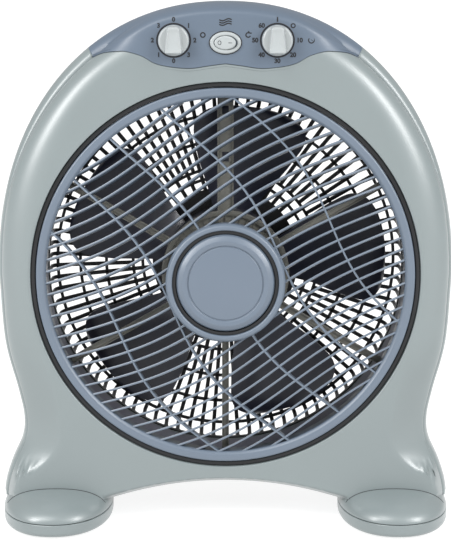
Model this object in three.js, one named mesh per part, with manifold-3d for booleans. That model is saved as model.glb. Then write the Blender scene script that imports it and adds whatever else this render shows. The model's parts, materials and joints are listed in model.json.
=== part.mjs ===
// Box fan with a turning louver grille: 14 inch class, free standing on two shoes.
// Millimetres. +X right, +Y towards the back, +Z up. The origin is on the floor under the middle.
import * as THREE from 'three';
import { mergeVertices } from 'three/addons/utils/BufferGeometryUtils.js';
import Module from 'manifold-3d';

const wasm = await Module();
wasm.setup();

// ---------------------------------------------------------------- driving dimensions
const GAP = 0.3;               // left between pieces that rest on each other
const WALL = 2.5;              // moulded wall of the housing
const OPENING_R = 193.4;       // round opening of the front shell
const SIDE_BAND = 35.6;        // housing beside the opening
const CROWN_BAND = 78.1;       // housing above the opening
const SILL = 20.6;             // housing below the opening
const CROWN_POWER = 2.15;      // fullness of the arched top
const ARCH_Z = 38.5;           // height of the arch between the legs, in the middle
const ARCH_DROP = 18.5;        // fall of the arch at the shoes
const WAIST_IN = 23;           // how far the legs narrow in at the waist
const WAIST_Z = 104;
const LEG_FOOT_Z = 30;         // the legs stop here, inside the shoes
const BODY_FRONT = -30;        // Y of the front face
const BODY_DEPTH = 62;
const PART_LINE = -8;          // Y where the two shells meet
const WIDEST_INSET = 24;       // the housing is widest this far in front of its back
const REAR_ROUND = 12;         // rounding of the rear edge
const HALF_WIDTH = OPENING_R + SIDE_BAND;
const AXIS_Z = ARCH_Z + SILL + OPENING_R;
const HEIGHT = AXIS_Z + OPENING_R + CROWN_BAND;
const BODY_REAR = BODY_FRONT + BODY_DEPTH;
const BODY_WIDEST = BODY_REAR - WIDEST_INSET;

const TRACK_WIDTH = 5.7;       // room for the louver's track ring inside the opening
const DUCT_STEP = 4.4;         // the air duct is this much narrower than the opening
const DUCT_TAPER = 7;
const DUCT_FRONT = -12;        // Y where the air duct starts
const DUCT_R_FRONT = OPENING_R - DUCT_STEP;
const DUCT_R_REAR = DUCT_R_FRONT - DUCT_TAPER;
const ROUND_SIDES = 48;        // facets of the large rings

const LOUVER_R = OPENING_R - TRACK_WIDTH;
const LOUVER_RIM = 9.8;        // radial width of the rim
const LOUVER_FRONT = BODY_FRONT - 1;
const LOUVER_DEPTH = 17;       // depth of the rim
const LOUVER_RISE = 27;        // how far the slats dome forward at the hub
const LOUVER_HUB_R = 58.3;     // hub ring, outside
const LOUVER_HUB_WALL = 6.4;
const LOUVER_HUB_FRONT = LOUVER_FRONT - 31;
const LOUVER_HUB_DEPTH = 15;
const LOUVER_FLOOR = 3;        // floor of the hub ring
const LOUVER_TILT = THREE.MathUtils.degToRad(28);
const SLAT_PITCH = 44.8;
const SLAT_WIDTH = 2.2;
const SLAT_DEPTH = 11;
const SLAT_WAVE = 8.4;         // amplitude of a slat's S curve
const SLAT_WAVE_LENGTH = 324;
const RIB_PITCH = 58.5;
const RIB_DEPTH = 9;
const RIB_WAVE = 11.7;
const RIB_WAVE_LENGTH = 294;
const RIB_LEAN = 0.165;
const CAP_R = 48.1;
const CAP_PROUD = 1;           // the cap stands this far in front of the hub ring
const CAP_STEP_R = 36.5;

const BRIDGE_Y = -6;           // front of the motor bridge
const BRIDGE_THICK = 3;
const BRIDGE_HUB_R = 64;
const BRIDGE_ARMS = 6;
const BRIDGE_ARM_WIDTH = 7;
const TOP_ARM_WIDTH = 16;      // the top arm is the broad one; the cables run down it
const MOTOR_R = 44;
const MOTOR_CUP = 8.5;         // depth of each end cup of the motor
const CUP_WALL = 2;
const STATOR_LENGTH = 12;
const STATOR_BORE = 25;
const AIR_GAP = 0.6;           // rotor to stator
const BUSH_R = 8;
const SHAFT_R = 4;
const LOUVER_MOTOR_R = 25;
const LOUVER_MOTOR_LENGTH = 17;
const LOUVER_SHAFT_R = 3.5;

const BLADE_COUNT = 5;
const TIP_CLEARANCE = 16;      // blade tips to the duct
const BLADE_SWEEP = THREE.MathUtils.degToRad(46);
const BLADE_PHASE = THREE.MathUtils.degToRad(10);
const BLADE_THICK = 2.4;
const BLADE_RISE = 12;         // half the depth that a blade sweeps through
const IMPELLER_HUB_R = 60;
const IMPELLER_HUB_DEPTH = 26;
const HUB_WALL = 3;
const HUB_CLEARANCE = 2.1;     // hub to the motor
const NUT_R = 15;
const NUT_LENGTH = 14;

const GUARD_BARS = 15;
const GUARD_BAR = 3;
const GUARD_WALL = 2.6;
const GUARD_CENTRE_R = 77;     // plain disc in the middle
const GUARD_INNER_R = 97.5;    // first ring
const GUARD_RING = 2;
const GUARD_FLANGE = 7;
const GUARD_CLEARANCE = 4.4;   // spinner nut to the grille

const KNOB_X = 50.3;
const KNOB_DROP = 37.7;        // knob axes below the crown
const KNOB_R = 15;
const KNOB_DEPTH = 13;
const KNOB_DISC = 6;
const SPINDLE_R = 3;
const SPINDLE_LENGTH = 18;
const SPINDLE_PROUD = 9;       // how far a spindle reaches into its knob
const SWITCH_HALF = [15, 10];
const SWITCH_DEPTH = 20;
const TIMER_HALF = [16, 9];
const TIMER_DEPTH = 28;
const SWITCH_DROP = 4;         // switch bodies hang this far below their spindles
const SWITCH_FRONT = BODY_FRONT + WALL + GAP;
const ROCKER_DROP = 40;        // rocker below the crown
const BEZEL_HALF = [15.2, 10.7];
const BEZEL_PROUD = 2.2;
const BEZEL_STEP = 2;          // the bezel's body is this much smaller than its rim
const ROCKER_HALF = [10.6, 6.7];
const ROCKER_TILT = THREE.MathUtils.degToRad(10);
const KNOB_Z = HEIGHT - KNOB_DROP;
const ROCKER_Z = HEIGHT - ROCKER_DROP;

const SHOE_IN = 58.5;          // shoe centres inside the housing's widest point
const SHOE_HALF = [55, 78];    // half width and half length of a shoe
const SHOE_POWER = 2.2;
const SHOE_SEAM_Z = 15;        // top of the base band
const SHOE_TOP_Z = 46;
const PAD_R = 9;
const PAD_HEIGHT = 1.5;
const PAD_SPREAD = 46;         // Y of a pad from the middle of its shoe
const SHOE_X = HALF_WIDTH - SHOE_IN;
const SHOE_INNER = SHOE_X - SHOE_HALF[0];

const GRIP_HALF = 55;          // recessed grip in the back of the crown
const GRIP_HEIGHT = 24;
const GRIP_DROP = 26;
const SCREW_R = 1.6;
const SCREW_HEAD_R = 3.8;
const SCREW_LENGTH = 10;
const GLAND_R = 5;
const GLAND_BORE = 2.6;
const CAPACITOR = [34, 18, 18];
const CAPACITOR_INSET = 10;     // capacitor to the back of the housing
const CAPACITOR_DROP = 71;      // its lower side below the crown

// ---------------------------------------------------------------- materials
const finish = (color, roughness, metalness = 0) =>
  new THREE.MeshStandardMaterial({ color, roughness, metalness });
const SHELL = finish(0xa4b0b1, 0.35);
const PANEL = finish(0x8292a3, 0.4);
const LOUVER = finish(0x8d9dad, 0.4);
const DUCT = finish(0x6d6d78, 0.5);
const DARK = finish(0x23262f, 0.35);
const BLACK = finish(0x17181a, 0.6);
const BRIDGE = finish(0x5c5c58, 0.5);
const KNOB = finish(0xc4c8c6, 0.3);
const STEEL = finish(0xa8abae, 0.35, 1);
const LAMINATION = finish(0x6b6e73, 0.6, 1);
const COPPER = finish(0xa8663a, 0.4, 1);
const BRONZE = finish(0xa98a55, 0.45, 1);
const RUBBER = finish(0x232323, 0.9);
const CREAM = finish(0xd8d4c4, 0.5);

// ---------------------------------------------------------------- solids
function toSolid(geometry) {
  const bare = geometry.clone();
  bare.deleteAttribute('normal');
  bare.deleteAttribute('uv');
  const merged = mergeVertices(bare, 1e-4);
  return new wasm.Manifold(new wasm.Mesh({
    numProp: 3,
    vertProperties: new Float32Array(merged.attributes.position.array),
    triVerts: new Uint32Array(merged.index.array),
  }));
}

function toGeometry(solid) {
  const mesh = solid.getMesh();
  const geometry = new THREE.BufferGeometry();
  geometry.setAttribute('position', new THREE.BufferAttribute(mesh.vertProperties, 3));
  geometry.setIndex(new THREE.BufferAttribute(mesh.triVerts, 1));
  return geometry;
}

const join = (solids) => solids.reduce((sum, solid) => sum.add(solid));
const cut = (solid, ...tools) => tools.reduce((left, tool) => left.subtract(tool), solid);

// The side faces that join rings of equally many points.
function sideFaces(rings) {
  const count = rings[0].length;
  const index = [];
  for (let r = 0; r + 1 < rings.length; r += 1) {
    for (let i = 0; i < count; i += 1) {
      const a = r * count + i;
      const b = r * count + (i + 1) % count;
      index.push(a, a + count, b, b, a + count, b + count);
    }
  }
  return index;
}

// A solid through closed flat rings of points.
function loft(rings) {
  const count = rings[0].length;
  const index = sideFaces(rings);
  const level = rings[0][0].z === rings[0][1].z && rings[0][1].z === rings[0][2].z;
  const flat = level ? (p) => new THREE.Vector2(p.x, p.y) : (p) => new THREE.Vector2(p.x, p.z);
  const last = (rings.length - 1) * count;
  index.push(...capOf(rings[0].map(flat), 0, false));
  index.push(...capOf(rings[rings.length - 1].map(flat), last, true));
  return closedSolid(rings, index);
}

// Triangles that close a flat ring, turning the way the ring does, or the other way.
function capOf(ring, start, reversed) {
  const ringTurn = Math.sign(THREE.ShapeUtils.area(ring)) * (reversed ? -1 : 1);
  return THREE.ShapeUtils.triangulateShape(ring, []).flatMap(([a, b, c]) => {
    const turn = Math.sign(THREE.ShapeUtils.area([ring[a], ring[b], ring[c]]));
    return turn === ringTurn ? [start + a, start + b, start + c] : [start + a, start + c, start + b];
  });
}

// A solid from rings of points and triangles, which may all face inwards.
function closedSolid(rings, index) {
  const positions = rings.flat().flatMap((p) => [p.x, p.y, p.z]);
  const geometry = new THREE.BufferGeometry();
  geometry.setAttribute('position', new THREE.Float32BufferAttribute(positions, 3));
  geometry.setIndex(index);
  const solid = toSolid(geometry);
  if (solid.volume() > 0) {
    return solid;
  }
  for (let i = 0; i < index.length; i += 3) {
    [index[i], index[i + 1]] = [index[i + 1], index[i]];
  }
  geometry.setIndex(index);
  return toSolid(geometry);
}

// A box from its lowest to its highest corner.
function box(low, high) {
  const size = high.map((value, i) => value - low[i]);
  const geometry = new THREE.BoxGeometry(...size);
  geometry.translate(...low.map((value, i) => value + size[i] / 2));
  return toSolid(geometry);
}

// A turned solid about a line along Y; the profile is a list of [radius, y] corners, closed.
function turned(profile, sides, x = 0, z = AXIS_Z) {
  const corners = profile.map(([radius, y]) => new THREE.Vector2(radius, y));
  const onAxis = corners.every((corner, i) => corner.x > 0 || i === 0 || i === corners.length - 1)
    && corners[0].x === 0;
  const points = onAxis ? corners : [...corners, corners[0].clone()];
  const geometry = new THREE.LatheGeometry(points, sides);
  geometry.translate(x, 0, z);
  const solid = toSolid(geometry);
  if (solid.volume() > 0) {
    return solid;
  }
  const flipped = new THREE.LatheGeometry(points.reverse(), sides);
  flipped.translate(x, 0, z);
  return toSolid(flipped);
}

const rod = (radius, y0, y1, sides, x = 0, z = AXIS_Z) =>
  turned([[0, y0], [radius, y0], [radius, y1], [0, y1]], sides, x, z);
const tube = (inner, outer, y0, y1, sides, x = 0, z = AXIS_Z) =>
  turned([[inner, y0], [outer, y0], [outer, y1], [inner, y1]], sides, x, z);

// A shape drawn in X and Z, extruded along Y.
function slab(points, y0, y1) {
  const ring = (y) => points.map(([x, z]) => new THREE.Vector3(x, y, z));
  return loft([ring(y0), ring(y1)]);
}

const group = new THREE.Group();

function place(name, solid, material) {
  const mesh = new THREE.Mesh(toGeometry(solid), material);
  mesh.name = name;
  group.add(mesh);
}

// ---------------------------------------------------------------- outline of the housing
const archZ = (x) => ARCH_Z - ARCH_DROP * (x / SHOE_INNER) ** 2;

// Right half, from the crown down to the middle of the arch: [x, z, side share].
// The side share is 1 where the shoulder is broad and 0 along the arch.
function halfOutline() {
  const crownSteps = 7;
  const sideSteps = 9;
  const archSteps = 3;
  const legEndZ = -6;
  const points = [];
  for (let i = 0; i <= crownSteps; i += 1) {
    const angle = (i / crownSteps) * Math.PI / 2;
    const x = HALF_WIDTH * Math.sin(angle) ** (2 / CROWN_POWER);
    const z = AXIS_Z + (HEIGHT - AXIS_Z) * Math.cos(angle) ** (2 / CROWN_POWER);
    points.push([x, z, 1]);
  }
  const waistX = HALF_WIDTH - WAIST_IN;
  const towardsWaist = (share) => THREE.MathUtils.lerp(AXIS_Z, WAIST_Z, share);
  const side = new THREE.CatmullRomCurve3([
    [HALF_WIDTH, AXIS_Z], [HALF_WIDTH - 5, towardsWaist(0.47)], [waistX + 5.5, towardsWaist(0.81)],
    [waistX, WAIST_Z], [waistX + 2, WAIST_Z - 22], [waistX + 13, WAIST_Z - 47],
    [waistX + 20.5, WAIST_Z - 74], [waistX + 21, legEndZ],
  ].map(([x, z]) => new THREE.Vector3(x, 0, z)));
  for (let i = 1; i <= sideSteps; i += 1) {
    const point = side.getPoint(i / sideSteps);
    points.push([point.x, point.z, 1]);
  }
  points.push([SHOE_INNER + 4, legEndZ, 0]);
  for (let i = 0; i <= archSteps; i += 1) {
    const x = SHOE_INNER * (1 - i / archSteps);
    points.push([x, archZ(x), 0]);
  }
  return points;
}

const right = halfOutline();
const outline = [...right, ...right.slice(1, -1).reverse().map(([x, z, side]) => [-x, z, side])];

// The open lower ends of the legs only move sideways, so that they stay level.
const inwards = outline.map((point, i) => {
  if (point[1] < 0) {
    return [point[2] > 0 ? -Math.sign(point[0]) : Math.sign(point[0]), 0];
  }
  const before = outline[(i + outline.length - 1) % outline.length];
  const after = outline[(i + 1) % outline.length];
  const along = new THREE.Vector2(after[0] - before[0], after[1] - before[1]).normalize();
  return [along.y, -along.x];
});

const crownShare = (z) => THREE.MathUtils.smoothstep(z, AXIS_Z + 70, AXIS_Z + 230);
const beadInset = (z, side) => side * THREE.MathUtils.lerp(5, 11, crownShare(z));
const shoulder = (z, side) => side * THREE.MathUtils.lerp(35, 7, crownShare(z)) + (1 - side) * 7;

// One ring of the housing: pushed in by inset(z, side) and placed at y.
const bodyRing = (y, inset) => outline.map(([x, z, side], i) => {
  const depth = inset(z, side);
  return new THREE.Vector3(x + inwards[i][0] * depth, y, z + inwards[i][1] * depth);
});

// The whole housing as one block, shrunk by `shrink` on every side.
function bodyBlock(shrink) {
  const rings = [];
  const quarter = Math.PI / 2;
  for (const t of [0, 0.5, 1]) {
    const y = BODY_FRONT + shrink + (PART_LINE - BODY_FRONT) * (1 - Math.cos(t * quarter));
    const drop = 1 - Math.sin(t * quarter);
    rings.push(bodyRing(y, (z, side) => beadInset(z, side) + shoulder(z, side) * drop + shrink));
  }
  for (const t of [0.6, 1]) {
    const y = PART_LINE + shrink + (BODY_WIDEST - PART_LINE) * (1 - Math.cos(t * quarter));
    const drop = 1 - Math.sin(t * quarter);
    rings.push(bodyRing(y, (z, side) => beadInset(z, side) * drop + shrink));
  }
  for (const t of [0, 0.5, 1]) {
    const y = BODY_REAR - shrink - REAR_ROUND * (1 - Math.sin(t * quarter));
    const drop = REAR_ROUND * (1 - Math.cos(t * quarter));
    rings.push(bodyRing(y, (z, side) => drop * (0.4 + 0.6 * side) + shrink));
  }
  return loft(rings);
}

const FAR = 600;
const sliceY = (y0, y1) => box([-FAR, y0, -FAR], [FAR, y1, FAR * 2]);
const legEnd = (side) => {
  const x = [side * (SHOE_INNER - GAP), side * FAR].sort((a, b) => a - b);
  return box([x[0], -FAR, -FAR], [x[1], FAR, LEG_FOOT_Z]);
};

const outside = cut(bodyBlock(0), legEnd(-1), legEnd(1));
const inside = bodyBlock(WALL);

// Lower edge of the control panel: a shallow wave that dips under the knobs.
function panelEdge(lift) {
  const half = new THREE.CatmullRomCurve3([
    [0, 60.4], [35, 65], [56, 63.2], [81, 53], [103, 48.4], [121, 51], [138, 59.6], [152, 57],
    [190, 50],
  ].map(([x, drop]) => new THREE.Vector3(x, 0, HEIGHT - drop + lift)));
  const edge = half.getPoints(16).map((point) => [point.x, point.z]);
  const mirrored = edge.slice(1).reverse().map(([x, z]) => [-x, z]);
  return [...mirrored, ...edge, [FAR, HEIGHT], [FAR, FAR * 2], [-FAR, FAR * 2], [-FAR, HEIGHT]];
}

const PANEL_BACK = BODY_WIDEST + 2;
const panelZone = slab(panelEdge(GAP / 2), BODY_FRONT - 10, PANEL_BACK);
const panelCut = slab(panelEdge(-GAP / 2), BODY_FRONT - 10, PANEL_BACK + GAP);

// ---------------------------------------------------------------- front shell
function frontShell() {
  const lipDepth = 15;
  const lipFront = BODY_FRONT + 1;
  const skin = cut(outside.intersect(sliceY(-FAR, PART_LINE - GAP / 2)), inside);
  const lip = tube(OPENING_R - 1, OPENING_R + WALL, lipFront, lipFront + lipDepth, ROUND_SIDES);
  const joined = skin.add(lip.intersect(outside));
  return cut(joined, rod(OPENING_R, -FAR, FAR, ROUND_SIDES), panelCut);
}

// ---------------------------------------------------------------- rear shell and air duct
const upperScrew = new THREE.Vector2(OPENING_R + 17, 0).rotateAround(new THREE.Vector2(), 0.775);
const SCREW_SPOTS = [
  [-upperScrew.x, AXIS_Z + upperScrew.y], [upperScrew.x, AXIS_Z + upperScrew.y],
  [-SHOE_X - 5, WAIST_Z - 24], [SHOE_X + 5, WAIST_Z - 24],
];
const GLAND_SPOT = [17 - SHOE_X, WAIST_Z - 46];

// The recessed grip; its front wall stands just behind the control panel and the switches.
function gripPocket(grow) {
  const inFront = Math.max(PANEL_BACK, SWITCH_FRONT + Math.max(SWITCH_DEPTH, TIMER_DEPTH));
  const front = inFront + GAP * 2 + WALL - grow;
  const back = grow > 0 ? BODY_REAR - GAP : FAR;
  const top = HEIGHT - GRIP_DROP;
  return box([-GRIP_HALF - grow, front, top - GRIP_HEIGHT - grow], [GRIP_HALF + grow, back, top + grow]);
}

function rearShell() {
  const skin = cut(outside.intersect(sliceY(PART_LINE + GAP / 2, FAR)), inside);
  const mouth = rod(DUCT_R_REAR, BODY_REAR - WALL - 1, FAR, ROUND_SIDES);
  const holes = SCREW_SPOTS.map(([x, z]) => rod(SCREW_R + GAP, BODY_REAR - WALL * 2, FAR, 10, x, z));
  const glandHole = rod(GLAND_R + GAP, BODY_REAR - WALL * 2, FAR, 12, ...GLAND_SPOT);
  const pocket = gripPocket(WALL).intersect(outside);
  return cut(skin.add(pocket), mouth, gripPocket(0), panelCut, ...holes, glandHole);
}

// The tapered ring round the blades; it stands against the back wall of the rear shell.
function airDuct() {
  const back = BODY_REAR - WALL - GAP;
  return turned([
    [DUCT_R_FRONT, DUCT_FRONT], [DUCT_R_FRONT + WALL, DUCT_FRONT],
    [DUCT_R_REAR + WALL, back], [DUCT_R_REAR, back],
  ], ROUND_SIDES);
}

function cordGland() {
  const neck = BODY_REAR + 4;
  const tip = BODY_REAR + 12;
  return turned([
    [GLAND_BORE, BODY_REAR - 8], [GLAND_R, BODY_REAR - 8], [GLAND_R, BODY_REAR + GAP],
    [GLAND_R + 3, BODY_REAR + GAP], [GLAND_R + 3, BODY_REAR + 2.5], [GLAND_R, neck],
    [GLAND_R - 1, tip], [GLAND_BORE, tip],
  ], 12, ...GLAND_SPOT);
}

function housingScrew(x, z) {
  const tip = BODY_REAR - SCREW_LENGTH;
  const top = BODY_REAR + 2.6;
  return turned([
    [0, tip], [SCREW_R, tip], [SCREW_R, BODY_REAR + GAP], [SCREW_HEAD_R, BODY_REAR + GAP],
    [SCREW_HEAD_R, top - 1], [SCREW_HEAD_R - 1.2, top], [0, top],
  ], 10, x, z);
}

// ---------------------------------------------------------------- control panel
function controlPanel() {
  const skin = cut(outside.intersect(panelZone), inside);
  const holes = [-KNOB_X, KNOB_X].map((x) => rod(SPINDLE_R + 1.2, -FAR, 0, 16, x, KNOB_Z));
  const slot = BEZEL_HALF.map((half) => half - BEZEL_STEP + GAP);
  return cut(skin, ...holes, oval(...slot, -FAR, PART_LINE));
}

// An oval column along Y at the rocker's place.
function oval(halfX, halfZ, y0, y1) {
  const points = [];
  const sides = 28;
  for (let i = 0; i < sides; i += 1) {
    const angle = (i / sides) * Math.PI * 2;
    points.push([halfX * Math.cos(angle), ROCKER_Z + halfZ * Math.sin(angle)]);
  }
  return slab(points, y0, y1);
}

function rockerBezel() {
  const rim = oval(...BEZEL_HALF, BODY_FRONT - BEZEL_PROUD, BODY_FRONT - GAP);
  const bodyHalf = BEZEL_HALF.map((half) => half - BEZEL_STEP);
  const body = oval(...bodyHalf, BODY_FRONT - 1, BODY_FRONT + 16);
  const wellHalf = ROCKER_HALF.map((half) => half + GAP * 2);
  return cut(rim.add(body), oval(...wellHalf, -FAR, BODY_FRONT + 12));
}

// The rocker lies with its left side pressed; its face is dished from end to end.
function rocker() {
  const [halfX, halfZ] = ROCKER_HALF;
  const sides = 20;
  const ringAt = (y, share) => {
    const ring = [];
    for (let i = 0; i < sides; i += 1) {
      const angle = (i / sides) * Math.PI * 2;
      const x = halfX * share * Math.cos(angle);
      const dish = y < 0 ? -1.6 * (x / halfX) ** 2 : 0;
      ring.push(new THREE.Vector3(x, y + dish, ROCKER_Z + halfZ * share * Math.sin(angle)));
    }
    return ring;
  };
  const geometry = toGeometry(loft([ringAt(-2.6, 0.9), ringAt(-1.8, 1), ringAt(4, 0.82)]));
  geometry.rotateZ(-ROCKER_TILT);
  geometry.translate(0, BODY_FRONT, 0);
  return toSolid(geometry);
}

// ---------------------------------------------------------------- knobs and the switches behind
// A disc with a tapered grip across it.
function knob(x) {
  const front = BODY_FRONT - KNOB_DEPTH;
  const back = BODY_FRONT - GAP * 2;
  const discFront = back - KNOB_DISC;
  const disc = turned([
    [0, discFront], [KNOB_R * 0.9, discFront], [KNOB_R, discFront + 1.5], [KNOB_R, back], [0, back],
  ], 24, x, KNOB_Z);
  const top = KNOB_Z + KNOB_R * 0.88;
  const bottom = KNOB_Z - KNOB_R * 0.8;
  const outlineOfGrip = [[x - 5.2, top], [x + 5.2, top], [x + 8, bottom], [x - 8, bottom]];
  const grip = slab(outlineOfGrip, front, discFront + 1);
  return cut(disc.add(grip), rod(SPINDLE_R + GAP, BODY_FRONT - SPINDLE_PROUD - GAP, 0, 12, x, KNOB_Z));
}

const SPINDLE_FRONT = BODY_FRONT - SPINDLE_PROUD;
const spindle = (x) => rod(SPINDLE_R, SPINDLE_FRONT, SPINDLE_FRONT + SPINDLE_LENGTH, 12, x, KNOB_Z);

// A closed block behind the panel, with a bore that the spindle turns in.
function switchBody(x, [halfX, halfZ], depth) {
  const back = SWITCH_FRONT + depth;
  const middle = KNOB_Z - SWITCH_DROP;
  const block = box([x - halfX, SWITCH_FRONT, middle - halfZ], [x + halfX, back, middle + halfZ]);
  const boreEnd = SPINDLE_FRONT + SPINDLE_LENGTH + GAP;
  return cut(block, rod(SPINDLE_R + GAP, -FAR, boreEnd, 12, x, KNOB_Z));
}

// ---------------------------------------------------------------- louver grille
// Front edge of the slats at a radius: level at the rim and doming towards the hub.
function domeY(radius) {
  const inner = LOUVER_HUB_R;
  const outer = LOUVER_R - LOUVER_RIM;
  const t = THREE.MathUtils.clamp((radius - inner) / (outer - inner), 0, 1);
  return LOUVER_FRONT + 3 - LOUVER_RISE * (1 - t ** 1.7);
}

// A flat strip on edge that follows points [u, v] in the tilted louver frame.
function strip(points, width, depth) {
  const cos = Math.cos(LOUVER_TILT);
  const sin = Math.sin(LOUVER_TILT);
  const rings = points.map(([u, v], i) => {
    const before = points[Math.max(i - 1, 0)];
    const after = points[Math.min(i + 1, points.length - 1)];
    const along = new THREE.Vector2(after[0] - before[0], after[1] - before[1]).normalize();
    const y = domeY(Math.hypot(u, v));
    const corner = (side, back) => {
      const a = u - along.y * side * width / 2;
      const b = v + along.x * side * width / 2;
      return new THREE.Vector3(a * cos - b * sin, y + back, AXIS_Z + a * sin + b * cos);
    };
    return [corner(-1, 0), corner(1, 0), corner(1, depth), corner(-1, depth)];
  });
  return stripSolid(rings);
}

// Four-cornered rings joined end to end; the end caps are quads.
function stripSolid(rings) {
  const index = sideFaces(rings);
  const last = (rings.length - 1) * 4;
  index.push(0, 1, 2, 0, 2, 3);
  index.push(last, last + 2, last + 1, last, last + 3, last + 2);
  return closedSolid(rings, index);
}

// Points along a slat or rib, from rim to rim; curve(t) gives [u, v] at a distance t from the middle.
function across(half, curve) {
  const steps = 6;
  return Array.from({ length: steps + 1 }, (_, i) => curve(half * (2 * i / steps - 1)));
}

function louverStrips() {
  const reach = LOUVER_R - 4;
  const strips = [];
  const slatRows = Math.floor(reach / SLAT_PITCH);
  for (let k = 0.5 - slatRows; k < slatRows; k += 1) {
    const level = k * SLAT_PITCH;
    const wave = (u) => SLAT_WAVE * Math.sin(2 * Math.PI * u / SLAT_WAVE_LENGTH);
    const points = across(Math.sqrt(reach ** 2 - level ** 2), (u) => [u, level + wave(u)]);
    strips.push(strip(points, SLAT_WIDTH, SLAT_DEPTH));
  }
  const ribRows = Math.floor((reach - 40) / RIB_PITCH);
  for (let k = -ribRows; k <= ribRows; k += 1) {
    const level = k * RIB_PITCH;
    const wave = (v) => RIB_WAVE * Math.sin(2 * Math.PI * v / RIB_WAVE_LENGTH);
    const half = Math.sqrt(reach ** 2 - level ** 2) * 0.98;
    const points = across(half, (v) => [level + wave(v) - RIB_LEAN * v, v]);
    strips.push(strip(points, SLAT_WIDTH, RIB_DEPTH));
  }
  return strips;
}

function louverGrille() {
  const rimInner = LOUVER_R - LOUVER_RIM;
  const rimBack = LOUVER_FRONT + LOUVER_DEPTH;
  const rim = turned([
    [rimInner, LOUVER_FRONT + 2], [rimInner + 2.5, LOUVER_FRONT], [LOUVER_R - 1.5, LOUVER_FRONT],
    [LOUVER_R, LOUVER_FRONT + 1.5], [LOUVER_R, rimBack], [rimInner, rimBack],
  ], ROUND_SIDES);
  const hubBack = LOUVER_HUB_FRONT + LOUVER_HUB_DEPTH;
  const floorFront = hubBack - LOUVER_FLOOR;
  const hubInner = LOUVER_HUB_R - LOUVER_HUB_WALL;
  const hub = turned([
    [LOUVER_SHAFT_R + GAP, floorFront], [hubInner, floorFront], [hubInner, LOUVER_HUB_FRONT],
    [LOUVER_HUB_R - 1, LOUVER_HUB_FRONT + 1.2], [LOUVER_HUB_R, hubBack],
    [LOUVER_SHAFT_R + GAP, hubBack],
  ], 28);
  const web = cut(
    join(louverStrips()).intersect(rod(rimInner + 3, -FAR, rimBack, ROUND_SIDES)),
    rod(LOUVER_HUB_R - 3, -FAR, FAR, 28),
  );
  return join([rim, hub, web]);
}

function louverCap() {
  const front = LOUVER_HUB_FRONT - CAP_PROUD;
  const back = LOUVER_HUB_FRONT + LOUVER_HUB_DEPTH - LOUVER_FLOOR - GAP;
  const bossR = LOUVER_SHAFT_R + 4;
  return turned([
    [0, front + 1], [CAP_STEP_R, front + 1], [CAP_STEP_R + 1, front], [CAP_R - 4, front],
    [CAP_R, front + 4], [CAP_R, back], [bossR, back], [bossR, back - 6], [0, back - 6],
  ], 28);
}

function louverTrackRing() {
  const back = DUCT_FRONT - GAP;
  return tube(LOUVER_R + 0.9, OPENING_R - 0.5, LOUVER_FRONT + 9, back, ROUND_SIDES);
}

// ---------------------------------------------------------------- motor, from front to back
const CUP_FRONT = BRIDGE_Y + BRIDGE_THICK + GAP;
const STATOR_Y0 = CUP_FRONT + MOTOR_CUP + GAP;
const STATOR_Y1 = STATOR_Y0 + STATOR_LENGTH;
const CUP_REAR = STATOR_Y1 + GAP + MOTOR_CUP;
const HUB_FRONT = CUP_REAR + HUB_CLEARANCE;
const HUB_BACK = HUB_FRONT + IMPELLER_HUB_DEPTH;
const BLADE_MID = (HUB_FRONT + HUB_BACK) / 2;
const SHAFT_END = HUB_BACK + NUT_LENGTH - 6;
const GUARD_REAR = HUB_BACK + NUT_LENGTH + GUARD_CLEARANCE + GUARD_WALL;

// End cup of the motor: face at `shut`, open at `open`.
function motorCup(shut, open) {
  const wall = CUP_WALL * Math.sign(open - shut);
  return turned([
    [BUSH_R + GAP, shut], [MOTOR_R - 3, shut], [MOTOR_R, shut + wall * 1.5], [MOTOR_R, open],
    [MOTOR_R - CUP_WALL, open], [MOTOR_R - CUP_WALL, shut + wall * 1.5],
    [MOTOR_R - CUP_WALL * 2, shut + wall], [BUSH_R + GAP, shut + wall],
  ], 24);
}

const bush = (y0, y1) => tube(SHAFT_R + GAP, BUSH_R, y0, y1, 16);

const winding = (y0, y1) => turned([
  [STATOR_BORE + 2, y0], [MOTOR_R - 5, y0], [MOTOR_R - 5, y1], [STATOR_BORE + 2, y1],
], 20);

// ---------------------------------------------------------------- rear grille
function rearGrille() {
  const guardR = DUCT_R_REAR + 2;
  const front = BODY_REAR + GAP;
  const back = GUARD_REAR;
  const disc = rod(guardR, back - GUARD_WALL, back, GUARD_BARS * 2);
  const wall = tube(guardR - GUARD_WALL, guardR, front, back, GUARD_BARS * 2);
  const flangeR = guardR + GUARD_FLANGE;
  const flange = tube(guardR - GUARD_WALL, flangeR, front, front + GUARD_WALL, GUARD_BARS * 2);
  const outerR = guardR - GUARD_WALL - 0.4;
  const rings = [GUARD_CENTRE_R, GUARD_INNER_R, (GUARD_INNER_R + outerR) / 2, outerR];
  const windows = [];
  for (let k = 0; k < GUARD_BARS; k += 1) {
    for (let zone = 0; zone + 1 < rings.length; zone += 1) {
      const from = rings[zone] + GUARD_RING / 2;
      windows.push(barSpace(from, rings[zone + 1] - GUARD_RING / 2, k, back - 5, back + 5));
    }
    windows.push(barSpace(guardR - 8, guardR + 4, k, BODY_REAR + 6, back - 5));
  }
  return cut(join([disc, wall, flange]), ...windows);
}

// The space between bar k and the next one, from one radius to another.
function barSpace(r0, r1, k, y0, y1) {
  const step = Math.PI * 2 / GUARD_BARS;
  const corner = (radius, side) => {
    const middle = Math.PI / 2 + (k + 0.5) * step;
    const turn = middle + side * (step / 2 - GUARD_BAR / 2 / radius);
    return [radius * Math.cos(turn), AXIS_Z + radius * Math.sin(turn)];
  };
  return slab([corner(r0, -1), corner(r1, -1), corner(r1, 1), corner(r0, 1)], y0, y1);
}

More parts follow.
